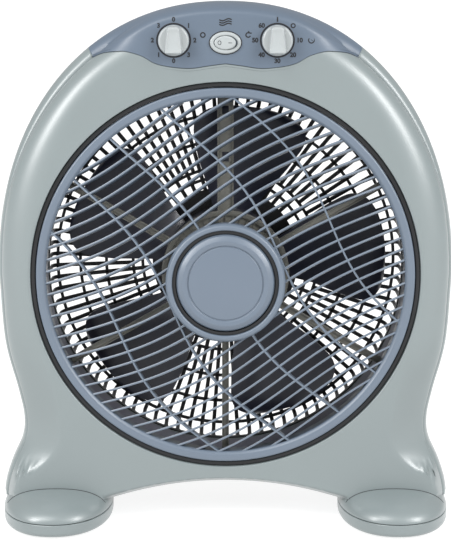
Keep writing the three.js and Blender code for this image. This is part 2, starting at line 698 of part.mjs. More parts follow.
// ---------------------------------------------------------------- impeller
function blade(phase) {
  const tipR = DUCT_R_REAR - TIP_CLEARANCE;
  const steps = 5;
  const rings = [];
  for (let i = 0; i <= steps; i += 1) {
    const t = i / steps;
    const radius = THREE.MathUtils.lerp(IMPELLER_HUB_R - 4, tipR, t);
    const tipRound = t > 0.8 ? 1 - 0.35 * ((t - 0.8) / 0.2) ** 2 : 1;
    const sweep = BLADE_SWEEP * tipRound * THREE.MathUtils.lerp(0.86, 1, Math.min(t * 1.6, 1));
    const chord = [-0.5, -0.25, 0, 0.25, 0.5].map((s) => [phase + s * sweep, -2 * s * BLADE_RISE]);
    const face = (offset) => chord.map(([angle, y]) => onDisc(radius, angle, BLADE_MID + y + offset));
    rings.push([...face(-BLADE_THICK / 2), ...face(BLADE_THICK / 2).reverse()]);
  }
  return bladeSolid(rings);
}

const onDisc = (radius, angle, y) =>
  new THREE.Vector3(radius * Math.cos(angle), y, AXIS_Z + radius * Math.sin(angle));

// Rings of ten corners, five along the front face and five back along the rear face.
function bladeSolid(rings) {
  const count = rings[0].length;
  const half = count / 2;
  const index = sideFaces(rings);
  const last = (rings.length - 1) * count;
  for (let i = 0; i + 1 < half; i += 1) {
    const j = count - 1 - i;
    index.push(i, i + 1, j, i + 1, j - 1, j);
    index.push(last + i, last + j, last + i + 1, last + i + 1, last + j, last + j - 1);
  }
  return closedSolid(rings, index);
}

const PIN_HALF = 8.5;
const PIN_THICK = 2;
const PIN_Y = HUB_BACK - 13;

// The drive pin's box, or the slot for it when grown.
const pinBox = (grow) => box(
  [-PIN_HALF - grow, PIN_Y - PIN_THICK / 2 - grow, AXIS_Z - PIN_THICK / 2 - grow],
  [PIN_HALF + grow, PIN_Y + PIN_THICK / 2 + grow, AXIS_Z + PIN_THICK / 2 + grow],
);

function impeller() {
  const bossFront = PIN_Y - PIN_THICK / 2;
  const bossR = PIN_HALF + 2;
  const floor = HUB_BACK - HUB_WALL;
  const hub = turned([
    [SHAFT_R + GAP, bossFront], [bossR, bossFront], [bossR, floor], [IMPELLER_HUB_R - HUB_WALL, floor],
    [IMPELLER_HUB_R - HUB_WALL, HUB_FRONT], [IMPELLER_HUB_R, HUB_FRONT],
    [IMPELLER_HUB_R, HUB_BACK], [SHAFT_R + GAP, HUB_BACK],
  ], 30);
  const blades = [];
  for (let k = 0; k < BLADE_COUNT; k += 1) {
    blades.push(blade(BLADE_PHASE + k * Math.PI * 2 / BLADE_COUNT));
  }
  const fins = cut(join(blades), rod(IMPELLER_HUB_R - 1.5, -FAR, FAR, 30));
  return cut(hub.add(fins), pinBox(GAP));
}

// ---------------------------------------------------------------- motor bridge
function motorBridge() {
  const y0 = BRIDGE_Y;
  const y1 = BRIDGE_Y + BRIDGE_THICK;
  const plate = tube(SHAFT_R + 4, BRIDGE_HUB_R, y0, y1, 24);
  const arms = [];
  for (let k = 0; k < BRIDGE_ARMS; k += 1) {
    const turn = Math.PI / 2 + k * Math.PI * 2 / BRIDGE_ARMS;
    const corner = (r, s) => [
      r * Math.cos(turn) - s * Math.sin(turn),
      AXIS_Z + r * Math.sin(turn) + s * Math.cos(turn),
    ];
    const bar = (r0, r1, half) => slab(
      [corner(r0, -half), corner(r1, -half), corner(r1, half), corner(r0, half)], y0, y1,
    );
    const half = (k === 0 ? TOP_ARM_WIDTH : BRIDGE_ARM_WIDTH) / 2;
    arms.push(bar(BRIDGE_HUB_R - 6, OPENING_R, half));
  }
  const windows = [0.42, 0.8].map((share) => {
    const middle = AXIS_Z + THREE.MathUtils.lerp(BRIDGE_HUB_R, DUCT_R_FRONT, share);
    return box([-3, y0 - 1, middle - 5], [3, y1 + 1, middle + 5]);
  });
  const ductSpace = turned([
    [0, DUCT_FRONT], [DUCT_R_FRONT - GAP, DUCT_FRONT], [DUCT_R_REAR - GAP, BODY_REAR],
    [0, BODY_REAR],
  ], ROUND_SIDES);
  return cut(join([plate, ...arms]).intersect(ductSpace), ...windows);
}

// ---------------------------------------------------------------- shoes
// Plan outline of a shoe at one height, pushed in by inset.
function shoeRing(side, z, inset) {
  const sides = 24;
  const ring = [];
  for (let i = 0; i < sides; i += 1) {
    const angle = (i / sides) * Math.PI * 2;
    const c = Math.cos(angle);
    const s = Math.sin(angle);
    const x = Math.sign(c) * Math.abs(c) ** (2 / SHOE_POWER) * (SHOE_HALF[0] - inset);
    const y = Math.sign(s) * Math.abs(s) ** (2 / SHOE_POWER) * (SHOE_HALF[1] - inset);
    ring.push(new THREE.Vector3(side * SHOE_X + x, y, z));
  }
  return ring;
}

const shoeStack = (side, levels) => loft(levels.map(([z, inset]) => shoeRing(side, z, inset)));

function shoeBase(side) {
  const foot = PAD_HEIGHT + GAP;
  return shoeStack(side, [[foot, 5], [foot + 3, 1.6], [SHOE_SEAM_Z - GAP / 2, 0]]);
}

function shoeUpper(side) {
  const rise = SHOE_TOP_Z - SHOE_SEAM_Z;
  const levels = [[0.26, 1], [0.52, 5], [0.74, 12], [0.9, 22], [1, 36]];
  const dome = levels.map(([share, inset]) => [SHOE_SEAM_Z + share * rise, inset]);
  const block = shoeStack(side, [[SHOE_SEAM_Z + GAP / 2, 0], ...dome]);
  const pocket = box([-FAR, BODY_FRONT - GAP, LEG_FOOT_Z - GAP], [FAR, BODY_REAR + GAP, FAR]);
  return cut(block, pocket);
}

const pad = (side, y) => {
  const geometry = new THREE.CylinderGeometry(PAD_R, PAD_R, PAD_HEIGHT, 16);
  geometry.rotateX(Math.PI / 2);
  geometry.translate(side * SHOE_X, y, PAD_HEIGHT / 2);
  return toSolid(geometry);
};

// ---------------------------------------------------------------- assembly
place('front_shell', frontShell(), SHELL);
place('rear_shell', rearShell(), SHELL);
place('air_duct', airDuct(), DUCT);
place('control_panel', controlPanel(), PANEL);
place('rear_grille', rearGrille(), DARK);
place('motor_bridge', motorBridge(), BRIDGE);
place('louver_track_ring', louverTrackRing(), BLACK);
place('louver_grille', louverGrille(), LOUVER);
place('louver_cap', louverCap(), LOUVER);

const louverMotorBack = BRIDGE_Y - GAP;
const louverMotorFront = louverMotorBack - LOUVER_MOTOR_LENGTH;
const louverShaftFront = LOUVER_HUB_FRONT + LOUVER_HUB_DEPTH - 8;
const louverBore = rod(LOUVER_SHAFT_R + GAP, -FAR, louverMotorFront + 8, 16);
place('louver_motor', cut(rod(LOUVER_MOTOR_R, louverMotorFront, louverMotorBack, 24), louverBore), STEEL);
place('louver_shaft', rod(LOUVER_SHAFT_R, louverShaftFront, louverMotorFront + 7, 16), STEEL);

place('motor_front_cup', motorCup(CUP_FRONT, CUP_FRONT + MOTOR_CUP), STEEL);
place('motor_rear_cup', motorCup(CUP_REAR, CUP_REAR - MOTOR_CUP), STEEL);
place('motor_stator', tube(STATOR_BORE, MOTOR_R, STATOR_Y0, STATOR_Y1, 24), LAMINATION);
place('winding_front', winding(STATOR_Y0 - 5.5, STATOR_Y0 - GAP), COPPER);
place('winding_rear', winding(STATOR_Y1 + GAP, STATOR_Y1 + 5.5), COPPER);
const rotorR = STATOR_BORE - AIR_GAP;
place('motor_rotor', tube(SHAFT_R + GAP, rotorR, STATOR_Y0 - 1, STATOR_Y1 + 1, 20), LAMINATION);
place('bush_front', bush(CUP_FRONT + 0.2, CUP_FRONT + 6.5), BRONZE);
place('bush_rear', bush(CUP_REAR - 6.5, CUP_REAR + 1.5), BRONZE);

place('drive_pin', pinBox(0), STEEL);
place('motor_shaft', cut(rod(SHAFT_R, BRIDGE_Y + 1, SHAFT_END, 16), pinBox(GAP)), STEEL);
place('impeller', impeller(), DARK);
place('spinner_nut', cut(
  turned([[0, HUB_BACK + GAP], [NUT_R, HUB_BACK + GAP], [NUT_R, HUB_BACK + 5],
    [NUT_R - 6, HUB_BACK + NUT_LENGTH - 1], [0, HUB_BACK + NUT_LENGTH]], 20),
  rod(SHAFT_R + GAP, -FAR, SHAFT_END + GAP, 16),
), DARK);

for (const [name, x] of [['speed', -KNOB_X], ['timer', KNOB_X]]) {
  place(`${name}_knob`, knob(x), KNOB);
  place(`${name}_spindle`, spindle(x), STEEL);
}
place('speed_switch', switchBody(-KNOB_X, SWITCH_HALF, SWITCH_DEPTH), CREAM);
place('timer_body', switchBody(KNOB_X, TIMER_HALF, TIMER_DEPTH), CREAM);
place('rocker_bezel', rockerBezel(), KNOB);
place('louver_rocker', rocker(), KNOB);

const capacitorLow = [
  HALF_WIDTH * 0.45 - CAPACITOR[0] / 2,
  BODY_REAR - CAPACITOR_INSET - CAPACITOR[1],
  HEIGHT - CAPACITOR_DROP,
];
place('run_capacitor', box(capacitorLow, capacitorLow.map((low, i) => low + CAPACITOR[i])), BLACK);
place('cord_gland', cordGland(), BLACK);

SCREW_SPOTS.forEach(([x, z], i) => {
  place(`housing_screw_${i + 1}`, housingScrew(x, z), STEEL);
});

for (const [name, side] of [['left', -1], ['right', 1]]) {
  place(`shoe_${name}`, shoeUpper(side), SHELL);
  place(`shoe_base_${name}`, shoeBase(side), SHELL);
  place(`pad_${name}_front`, pad(side, -PAD_SPREAD), RUBBER);
  place(`pad_${name}_rear`, pad(side, PAD_SPREAD), RUBBER);
}

export default group;
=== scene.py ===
"""Box fan with a turning louver grille: the visual model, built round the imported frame.

Lengths are millimetres until a mesh is made. +X right, +Y towards the back, +Z up.
"""
import json
import math

import bmesh
import bpy
import numpy as np
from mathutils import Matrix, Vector


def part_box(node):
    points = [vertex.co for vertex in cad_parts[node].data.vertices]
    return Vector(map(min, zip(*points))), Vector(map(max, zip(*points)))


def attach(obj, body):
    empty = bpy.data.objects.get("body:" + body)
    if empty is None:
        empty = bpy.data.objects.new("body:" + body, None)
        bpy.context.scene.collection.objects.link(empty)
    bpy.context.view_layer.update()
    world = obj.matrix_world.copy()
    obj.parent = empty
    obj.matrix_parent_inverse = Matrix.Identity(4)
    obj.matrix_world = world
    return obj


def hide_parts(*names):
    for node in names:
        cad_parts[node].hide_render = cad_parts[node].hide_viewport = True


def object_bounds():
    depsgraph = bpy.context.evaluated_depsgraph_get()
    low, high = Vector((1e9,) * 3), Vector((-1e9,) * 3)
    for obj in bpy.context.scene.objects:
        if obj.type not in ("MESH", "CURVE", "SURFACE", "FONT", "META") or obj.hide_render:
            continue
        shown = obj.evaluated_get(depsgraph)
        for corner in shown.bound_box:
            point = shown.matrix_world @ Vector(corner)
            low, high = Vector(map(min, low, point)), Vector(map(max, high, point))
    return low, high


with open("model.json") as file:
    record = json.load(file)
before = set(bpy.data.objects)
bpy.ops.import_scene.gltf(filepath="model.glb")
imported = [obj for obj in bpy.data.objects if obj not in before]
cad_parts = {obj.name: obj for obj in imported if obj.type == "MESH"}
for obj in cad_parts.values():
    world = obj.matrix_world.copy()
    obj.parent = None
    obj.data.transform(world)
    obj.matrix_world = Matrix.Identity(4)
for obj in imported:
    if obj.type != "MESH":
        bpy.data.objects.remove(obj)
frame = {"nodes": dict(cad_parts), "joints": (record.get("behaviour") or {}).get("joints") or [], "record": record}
cad_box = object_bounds()

MM = 0.001
PI = math.pi
BACKWARDS = np.array([0, 1, 0])


def box_mm(node):
    low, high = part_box(node)
    return np.array(low) / MM, np.array(high) / MM


def joint_mm(name):
    joint = next(j for j in frame["joints"] if j["name"] == name)
    return np.array(joint["pos_m"]) / MM


# ------------------------------------------------------------ sizes, from the frame where it has them
TOP = np.array(cad_box[1]) / MM
AXIS_Z = joint_mm("fan_spin")[2]
HALF_WIDTH = TOP[0]
HEIGHT = TOP[2]
FRONT = -30.0                       # Y of the housing's front face
PART_LINE = -8.0                    # Y where the two shells meet
WIDEST = 8.0                        # Y where the rear shell is widest
PANEL_BACK = 10.0
REAR = 32.0
REAR_ROUND = 12.0
WALL = 2.5
SEAM = 0.3                          # gap that shows between two pieces
SKIN = 2.2                          # thickness of the shells' skins
OPENING_R = 193.4
CROWN_POWER = 2.15
ARCH_Z, ARCH_DROP, ARCH_BEVEL = 38.5, 18.5, 9.0
SHOULDER_CREASE, ARCH_CREASE = 0.14, 0.85
LEG_FLAT_Z = 52.0                   # below this the flat face reaches the leg's side
PANEL_ROLL = 13.0                   # rounding of the crown along the panel
WAIST_X, WAIST_Z = HALF_WIDTH - 23, 104.0
CROWN_STEPS = 70                    # points along the crown, and along a leg
FOOT_Z = 22.0                       # the legs end here, inside the shoes

DUCT_R_FRONT, DUCT_R_REAR = 189.0, 182.0

LOUVER_R = box_mm("louver_grille")[1][0]
LOUVER_RIM = 9.8
LOUVER_FRONT = FRONT - 1
LOUVER_RISE = 27.0
LOUVER_DEPTH = 17.0
HUB_R, HUB_WALL = 58.3, 6.4
HUB_FRONT = LOUVER_FRONT - 31
LOUVER_TILT = math.radians(28)
SLAT_PITCH, SLAT_ROWS = 11.2, 15
SLAT_WAVE, SLAT_WAVE_LENGTH = 8.4, 324.0
SLAT_WIDTH, SLAT_DEPTH, SLAT_LEAN = 2.1, 11.5, math.radians(14)
RIB_PITCH, RIB_ROWS = 58.5, 2
RIB_WAVE, RIB_WAVE_LENGTH, RIB_LEAN = 11.7, 294.0, 0.165
RIB_WIDTH, RIB_DEPTH = 1.9, 10.0
CAP_R, CAP_STEP_R = 48.1, 36.5

GUARD_HIGH = box_mm("rear_grille")[1]
GUARD_R = 184.0
GUARD_MIDDLE = GUARD_HIGH[1] - 1.4         # Y of the middle of the back bars
GUARD_BARS = 90
GUARD_RINGS = [77.0, 87.4, 97.5, 125.7, 153.2, 177.0]
GUARD_BAR, GUARD_RING = 4.2, 1.6           # width of a bar, half width of a ring

FAN_LOW, FAN_HIGH = box_mm("impeller")
BLADES = 5
BLADE_TIP_R = 166.0
BLADE_PHASE = math.radians(10)
BLADE_SWEEP = math.radians(47)
FAN_HUB_R = 60.0
BORE_R = 4.4                        # bore of the impeller and its nut

SHOE_X, SHOE_HALF, SHOE_POWER = HALF_WIDTH - 58.5, (55.0, 78.0), 2.2
SHOE_INNER = SHOE_X - SHOE_HALF[0]
SHOE_SEAM_Z, SHOE_TOP_Z = 15.0, 37.0
DOME_POWER = 0.72                   # how squarely a shoe's dome falls to its edge
PAD_HEIGHT = box_mm("pad_left_front")[1][2]

KNOB_X = joint_mm("timer_turn")[0]
KNOB_Z = joint_mm("timer_turn")[2]
KNOB_R = 15.0
ROCKER_Z = joint_mm("rocker_tip")[2]
KNOB_DISC = 6.0                     # depth of a knob's disc
BEZEL_HALF = (15.2, 10.7)
ROCKER_HALF = (10.6, 6.7)
ROCKER_TILT = math.radians(10)
MARK_SIZE, MARK_R = 6.0, 20.0       # dial numbers, and how far they stand from a knob's axis


# ------------------------------------------------------------ materials
def linear(rgb):
    """Linear colour from 0-255 display values."""
    share = [value / 255 for value in rgb]
    return [v / 12.92 if v <= 0.04045 else ((v + 0.055) / 1.055) ** 2.4 for v in share]


def material(name, rgb, rough, metallic=0.0, mottle=0.05, grain=0.02, grain_scale=900, coat=0.0,
             stretch=(1, 1, 1)):
    """Moulded or drawn surface: slow colour mottling, uneven gloss and a fine grain."""
    made = bpy.data.materials.new(name)
    made.use_nodes = True
    nodes, links = made.node_tree.nodes, made.node_tree.links
    shader = nodes["Principled BSDF"]

    def node(kind, settings, source=None, target=None):
        """A new node with its inputs set and one of them linked."""
        fresh = nodes.new("ShaderNode" + kind)
        for key, value in settings.items():
            fresh.inputs[key].default_value = value
        if source is not None:
            links.new(source, fresh.inputs[target])
        return fresh

    place = node("TexCoord", {})
    mapping = node("Mapping", {"Scale": stretch}, place.outputs["Object"], "Vector")
    slow = node("TexNoise", {"Scale": 14, "Detail": 5}, mapping.outputs["Vector"], "Vector")
    ramp = node("ValToRGB", {}, slow.outputs["Fac"], "Fac")
    for element, position, share in zip(ramp.color_ramp.elements, (0.3, 0.7), (1 - mottle, 1 + mottle)):
        element.position = position
        element.color = (*[min(c * share, 1) for c in linear(rgb)], 1)
    fine = node("TexNoise", {"Scale": grain_scale, "Detail": 3}, mapping.outputs["Vector"], "Vector")
    gloss = node("MapRange", {"To Min": rough - 0.06, "To Max": rough + 0.06}, fine.outputs["Fac"], "Value")
    bump = node("Bump", {"Strength": grain * 5, "Distance": 0.0002}, fine.outputs["Fac"], "Height")
    links.new(ramp.outputs["Color"], shader.inputs["Base Color"])
    links.new(gloss.outputs["Result"], shader.inputs["Roughness"])
    links.new(bump.outputs["Normal"], shader.inputs["Normal"])
    shader.inputs["Metallic"].default_value = metallic
    shader.inputs["Coat Weight"].default_value = coat
    shader.inputs["Coat Roughness"].default_value = 0.3
    return made


LOOKS = {
    "shell_plastic": material("shell", (111, 120, 121), 0.42, coat=0.8, mottle=0.02),
    "panel_plastic": material("panel", (82, 94, 108), 0.45, coat=0.1, mottle=0.02),
    "louver_plastic": material("louver", (91, 102, 115), 0.38, coat=0.2, mottle=0.02),
    "guard_plastic": material("guard", (20, 21, 24), 0.45, mottle=0.12),
    "blade_plastic": material("blade", (36, 38, 52), 0.3, coat=0.3, mottle=0.05),
    "black_plastic": material("black", (20, 22, 25), 0.5, mottle=0.12),
    "bridge_plastic": material("bridge", (128, 127, 120), 0.36, mottle=0.08),
    "knob_plastic": material("knob", (150, 155, 156), 0.3, coat=0.3, mottle=0.02),
    # duct: the shell's plastic given the grey-purple tint it takes in the shade inside the housing; painted shade.
    "duct_plastic": material("duct", (118, 118, 132), 0.45, mottle=0.04),
    "switch_plastic": material("switch", (205, 200, 182), 0.5, mottle=0.04),
    "steel": material("steel", (168, 171, 175), 0.3, metallic=1.0, grain_scale=300, stretch=(1, 12, 1)),
    "lamination": material("lamination", (96, 98, 104), 0.5, metallic=0.9, stretch=(1, 40, 1)),
    "winding_copper": material("copper", (168, 98, 52), 0.35, metallic=0.9, stretch=(1, 20, 1)),
    "bush_bronze": material("bronze", (164, 128, 72), 0.45, metallic=1.0),
    "pad_rubber": material("rubber", (30, 30, 31), 0.8, grain=0.06, mottle=0.1),
    # mark: dark ink for the printed numbers and signs; the same dark also stands for painted shade in the strips
    # round the knobs, round the rocker's bezel and at the ankles.
    "mark": material("mark", (12, 14, 20), 0.6, mottle=0.1),
}


# ------------------------------------------------------------ mesh tools
def add(name, shape, look, body, nodes=(), thickness=0.0, sharp=40, facing=None):
    """A piece from (points in millimetres, faces), which are turned to look outwards or towards `facing`."""
    points, faces = shape
    mesh = bpy.data.meshes.new(name)
    mesh.from_pydata([tuple(point) for point in np.asarray(points) * MM], [], faces)
    work = bmesh.new()
    work.from_mesh(mesh)
    bmesh.ops.remove_doubles(work, verts=work.verts, dist=1e-6)
    bmesh.ops.dissolve_degenerate(work, dist=1e-6, edges=work.edges)
    bmesh.ops.recalc_face_normals(work, faces=work.faces)
    if facing is not None:
        turn = sum(f.normal.dot(Vector(facing)) * f.calc_area() for f in work.faces)
        if turn < 0:
            bmesh.ops.reverse_faces(work, faces=work.faces)
    work.to_mesh(mesh)
    work.free()
    mesh.shade_smooth()
    mesh.set_sharp_from_angle(angle=math.radians(sharp))
    piece = bpy.data.objects.new(name, mesh)
    bpy.context.scene.collection.objects.link(piece)
    mesh.materials.append(LOOKS[look])
    if thickness:
        solid = piece.modifiers.new("wall", "SOLIDIFY")
        solid.thickness = thickness * MM
        solid.offset = -1
    if nodes:
        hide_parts(*nodes)
    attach(piece, body)
    return piece


def grid(rows, wrap_columns=True, wrap_rows=False, keep=None, start=0):
    """Quads over rows of equally many points; keep(r, c) says which quads are made."""
    rows = np.asarray(rows)
    count, width = rows.shape[:2]
    faces = []
    for r in range(count if wrap_rows else count - 1):
        for c in range(width if wrap_columns else width - 1):
            if keep is None or keep(r, c):
                below, right = (r + 1) % count, (c + 1) % width
                faces.append([start + i for i in
                              (r * width + c, r * width + right, below * width + right, below * width + c)])
    return rows.reshape(-1, 3), faces


def capped(rows):
    """A closed skin over rows of points, with a face across each end."""
    points, faces = grid(rows)
    width, last = len(rows[0]), (len(rows) - 1) * len(rows[0])
    return points, faces + [list(range(width))[::-1], [last + i for i in range(width)]]


def around(count):
    """Angles evenly round a circle."""
    return np.linspace(0, 2 * PI, count, endpoint=False)


def spoke(turn):
    """Outward and sideways directions at an angle round a line along Y."""
    return np.array([math.cos(turn), 0, math.sin(turn)]), np.array([-math.sin(turn), 0, math.cos(turn)])


def fillet(corners, radius, steps=4, closed=True):
    """A polyline with its corners rounded."""
    corners = [np.array(corner, float) for corner in corners]
    made = []
    for i, corner in enumerate(corners):
        if not closed and i in (0, len(corners) - 1):
            made.append(corner)
            continue
        before, after = corners[i - 1] - corner, corners[(i + 1) % len(corners)] - corner
        reach = min(radius, np.linalg.norm(before) * 0.45, np.linalg.norm(after) * 0.45)
        a = corner + before / (np.linalg.norm(before) + 1e-9) * reach
        b = corner + after / (np.linalg.norm(after) + 1e-9) * reach
        for t in np.linspace(0, 1, steps):
            made.append((1 - t) ** 2 * a + 2 * t * (1 - t) * corner + t ** 2 * b)
    return made


def lathe(profile, sides=160, x=0.0, z=None, closed=True):
    """Points and faces of a profile of (radius, y) turned about a line along Y."""
    z = AXIS_Z if z is None else z
    rows = [[(x + r * math.cos(a), y, z + r * math.sin(a)) for a in around(sides)] for r, y in profile]
    return grid(rows, wrap_rows=closed)


def turned(name, profile, look, body, nodes=(), radius=0.8, sides=160, x=0.0, z=None, **more):
    """A closed turned piece with rounded edges."""
    on_axis = profile[0][0] == 0
    rounded = fillet(profile, radius, closed=not on_axis)
    return add(name, lathe(rounded, sides, x, z, closed=not on_axis), look, body, nodes, **more)


def bundle(parts):
    """Joins several (points, faces) into one."""
    points, faces = [], []
    for part_points, part_faces in parts:
        faces += [[i + len(points) for i in face] for face in part_faces]
        points += [tuple(point) for point in part_points]
    return np.array(points), faces


def sweep(path, side, out, section):
    """A closed bar: a section of (side, out) offsets carried along a path. One direction may serve all."""
    path = np.asarray(path, float)
    side, out = (np.broadcast_to(np.asarray(a, float), path.shape) for a in (side, out))
    return capped([[p + s * a + o * b for a, b in section] for p, s, o in zip(path, side, out)])


def rounded_bar(width, low, high, edge=0.35):
    """Section of a flat bar from low to high, with rounded edges."""
    half = width / 2
    return fillet([(-half, low), (half, low), (half, high), (-half, high)], edge * width, steps=3)


def smooth_curve(knots, count):
    """Points on a Catmull-Rom curve through the knots."""
    knots = np.array(knots, float)
    padded = np.vstack([2 * knots[0] - knots[1], knots, 2 * knots[-1] - knots[-2]])
    made = []
    for s in np.linspace(0, len(knots) - 1 - 1e-9, count):
        i, t = int(s), s - int(s)
        a, b, c, d = padded[i:i + 4]
        made.append(0.5 * (2 * b + (c - a) * t + (2 * a - 5 * b + 4 * c - d) * t ** 2
                           + (3 * b - a - 3 * c + d) * t ** 3))
    return np.array(made)


def smoothstep(value, low, high):
    t = np.clip((value - low) / (high - low), 0, 1)
    return t * t * (3 - 2 * t)


def narrow_down(low, high, is_low):
    """Halves the span between two arrays until each holds the value where is_low turns false."""
    for _ in range(18):
        middle = (low + high) / 2
        keep = is_low(middle)
        low, high = np.where(keep, middle, low), np.where(keep, high, middle)
    return low


# ------------------------------------------------------------ outline of the housing
def arch_z(x):
    return ARCH_Z - ARCH_DROP * (x / SHOE_INNER) ** 2


def side_line():
    """Right side of the housing, from the crown to the floor of the shoe."""
    turn = np.linspace(0, PI / 2, CROWN_STEPS)
    x = HALF_WIDTH * np.sin(turn) ** (2 / CROWN_POWER)
    z = AXIS_Z + (HEIGHT - AXIS_Z) * np.clip(np.cos(turn), 0, 1) ** (2 / CROWN_POWER)
    drop = AXIS_Z - WAIST_Z
    leg = smooth_curve([
        (HALF_WIDTH, AXIS_Z), (HALF_WIDTH - 5, AXIS_Z - 0.47 * drop), (WAIST_X + 5.5, AXIS_Z - 0.81 * drop),
        (WAIST_X, WAIST_Z), (WAIST_X + 2, WAIST_Z - 22), (WAIST_X + 13, WAIST_Z - 47),
        (WAIST_X + 20.5, WAIST_Z - 74), (WAIST_X + 21, -6),
    ], CROWN_STEPS)
    return np.vstack([np.column_stack([x, z]), leg[1:]])


def arch_line():
    """Right half of the arch, from the shoe's floor to the middle."""
    x = np.linspace(SHOE_INNER, 0, 24)
    return np.vstack([[SHOE_INNER + 4, -6], np.column_stack([x, arch_z(x)])])


def mirrored(line):
    return line * np.array([-1, 1])


SIDES = [side_line(), mirrored(side_line())]
ARCHES = [arch_line(), mirrored(arch_line())]


def distance(points, lines):
    """Distance from each point to the nearest of some polylines."""
    best = np.full(len(points), 1e9)
    for line in lines:
        a, b = line[:-1], line[1:]
        span = b - a
        size = (span ** 2).sum(1)
        share = ((points[:, None] - a) * span).sum(2) / size
        nearest = a + np.clip(share, 0, 1)[..., None] * span
        best = np.minimum(best, np.sqrt(((points[:, None] - nearest) ** 2).sum(2)).min(1))
    return best


def crown_share(z):
    return smoothstep(z, AXIS_Z + 70, AXIS_Z + 230)


def bead_width(z):
    return 5 + 6 * crown_share(z)


def shoulder_width(points):
    """Width of the roll inside the bead: broad on the shell and narrower up on the panel."""
    broad = 35 - 11 * crown_share(points[:, 1])
    return broad + (12 - broad) * smoothstep(panel_gap(points), 0, 30)


def quarter(u, crease=0.0):
    """How far a quarter-round has fallen: 1 at its outer edge, and 0 at the crease with the face."""
    u = np.clip(u, 0, 1)
    return (1 - crease) * (1 - np.sqrt(np.clip(1 - (1 - u) ** 2, 0, 1))) + crease * (1 - u)


def leg_share(points):
    """How far across a leg's shoulder points lie: 0 at the housing's side, 1 where the flat face starts."""
    x, z = np.abs(points[:, 0]), points[:, 1]
    leg = SIDES[0][CROWN_STEPS:][::-1]
    side = np.interp(z, leg[:, 1], leg[:, 0]) - bead_width(z)
    bend_z = WAIST_Z - 9
    bend = np.clip((bend_z - z) / (bend_z - LEG_FLAT_Z), 0, 1)
    start = side - (side - WAIST_X + 40) * np.sqrt(1 - bend ** 2)
    start = np.minimum(start, side - ARCH_BEVEL)
    return (side - x) / (side - start)


def front_y(points):
    """Y of the front face at points (x, z)."""
    z = points[:, 1]
    share = (distance(points, SIDES) - bead_width(z)) / shoulder_width(points)
    low = 1 - smoothstep(z, WAIST_Z - 12, WAIST_Z + 8)
    share = share * (1 - low) + leg_share(points) * low
    fold = 0.62 * (1 - smoothstep(z, WAIST_Z - 10, WAIST_Z + 95))
    side = quarter(share, SHOULDER_CREASE * (1 - crown_share(z)) + fold)
    arch = quarter(distance(points, ARCHES) / ARCH_BEVEL, ARCH_CREASE)
    return FRONT + (PART_LINE - FRONT) * np.maximum(side, arch)


def panel_share(turns):
    """How far the panel's plain roll has taken over from the beaded edge: 0 at the panel's ends."""
    return smoothstep(np.abs(turns - PI / 2), PI / 2 - PANEL_TURN, PI / 2 - PANEL_TURN - 0.3)


def panel_y(points):
    """Y of the panel's face at points (x, z)."""
    fallen = quarter(distance(points, SIDES) / PANEL_ROLL)
    share = panel_share(np.arctan2(points[:, 1] - AXIS_Z, points[:, 0]))
    return front_y(points) * (1 - share) + (FRONT + (WIDEST - FRONT) * fallen) * share


def on_rays(turns, radii):
    return np.column_stack([radii * np.cos(turns), AXIS_Z + radii * np.sin(turns)])


def outer_radius(turns, bead_share=0.0, round_share=0.0):
    """Radius along rays from the axis of the outline, pushed in by a share of the bead or the rear round."""
    def room(radii):
        points = on_rays(turns, radii)
        pushed = bead_share * bead_width(points[:, 1]) + round_share * REAR_ROUND
        side = distance(points, SIDES) - pushed
        arch = distance(points, ARCHES) - round_share * REAR_ROUND * 0.4
        return np.minimum(np.minimum(side, arch), points[:, 1] - FOOT_Z)
    return narrow_down(np.full(len(turns), OPENING_R * 0.99), edge_radius(turns), lambda r: room(r) > 0)


def edge_radius(turns):
    """Radius of the plain outline along rays from the axis."""
    side = SIDES[0][SIDES[0][:, 1] > FOOT_Z]
    foot_x = np.linspace(side[-1][0], SHOE_INNER + 1, 40)
    foot = np.column_stack([foot_x, np.full(40, FOOT_Z)])
    arch = ARCHES[0][ARCHES[0][:, 1] > FOOT_Z]
    half = np.vstack([side, foot, arch])
    polar = np.arctan2(half[:, 1] - AXIS_Z, half[:, 0])
    radius = np.hypot(half[:, 0], half[:, 1] - AXIS_Z)
    folded = np.where(np.cos(turns) >= 0, turns, PI - turns)
    folded = (folded + PI) % (2 * PI) - PI
    order = np.argsort(polar)
    return np.interp(folded, polar[order], radius[order])


# ------------------------------------------------------------ control panel's edge
PANEL_KNOTS = [(0, 60.4), (16, 62.5), (35, 65), (56, 63.2), (70, 59.6), (81, 53.2), (95, 49),
               (103, 48.4), (118, 50), (129, 54.2), (138, 59.6), (151, 57.2), (190, 50)]
PANEL_HALF = np.array([(x, HEIGHT - drop) for x, drop in smooth_curve(PANEL_KNOTS, 160)])


def panel_gap(points):
    """Height above the panel's lower edge."""
    return points[:, 1] - np.interp(np.abs(points[:, 0]), PANEL_HALF[:, 0], PANEL_HALF[:, 1])


def panel_radius(turns):
    """Radius where each upward ray crosses the panel's edge."""
    low, high = np.full(len(turns), OPENING_R), np.full(len(turns), 330.0)
    return narrow_down(low, high, lambda r: ~(panel_gap(on_rays(turns, r)) > 0))


def find_panel_turn():
    """Angle at which the panel's edge meets the front shell's outline."""
    turns = np.linspace(math.radians(40), math.radians(80), 400)
    room = panel_radius(turns) - outer_radius(turns, bead_share=1)
    return turns[np.nonzero(room < 0)[0][0]]


PANEL_TURN = find_panel_turn()
COLUMNS = np.sort(np.concatenate([
    np.linspace(-PI / 2, 1.5 * PI, 480, endpoint=False),
    [PANEL_TURN, PI - PANEL_TURN],
]))
IN_PANEL = (COLUMNS >= PANEL_TURN - 1e-9) & (COLUMNS <= PI - PANEL_TURN + 1e-9)


def surface_rows(turns, inner, outer, count):
    """Rows over the front face from an inner to an outer radius, closer together near the outer one."""
    rows = []
    for t in np.linspace(0, 1, count):
        points = on_rays(turns, inner + (outer - inner) * math.sin(t * PI / 2))
        rows.append(np.column_stack([points[:, 0], front_y(points), points[:, 1]]))
    return rows


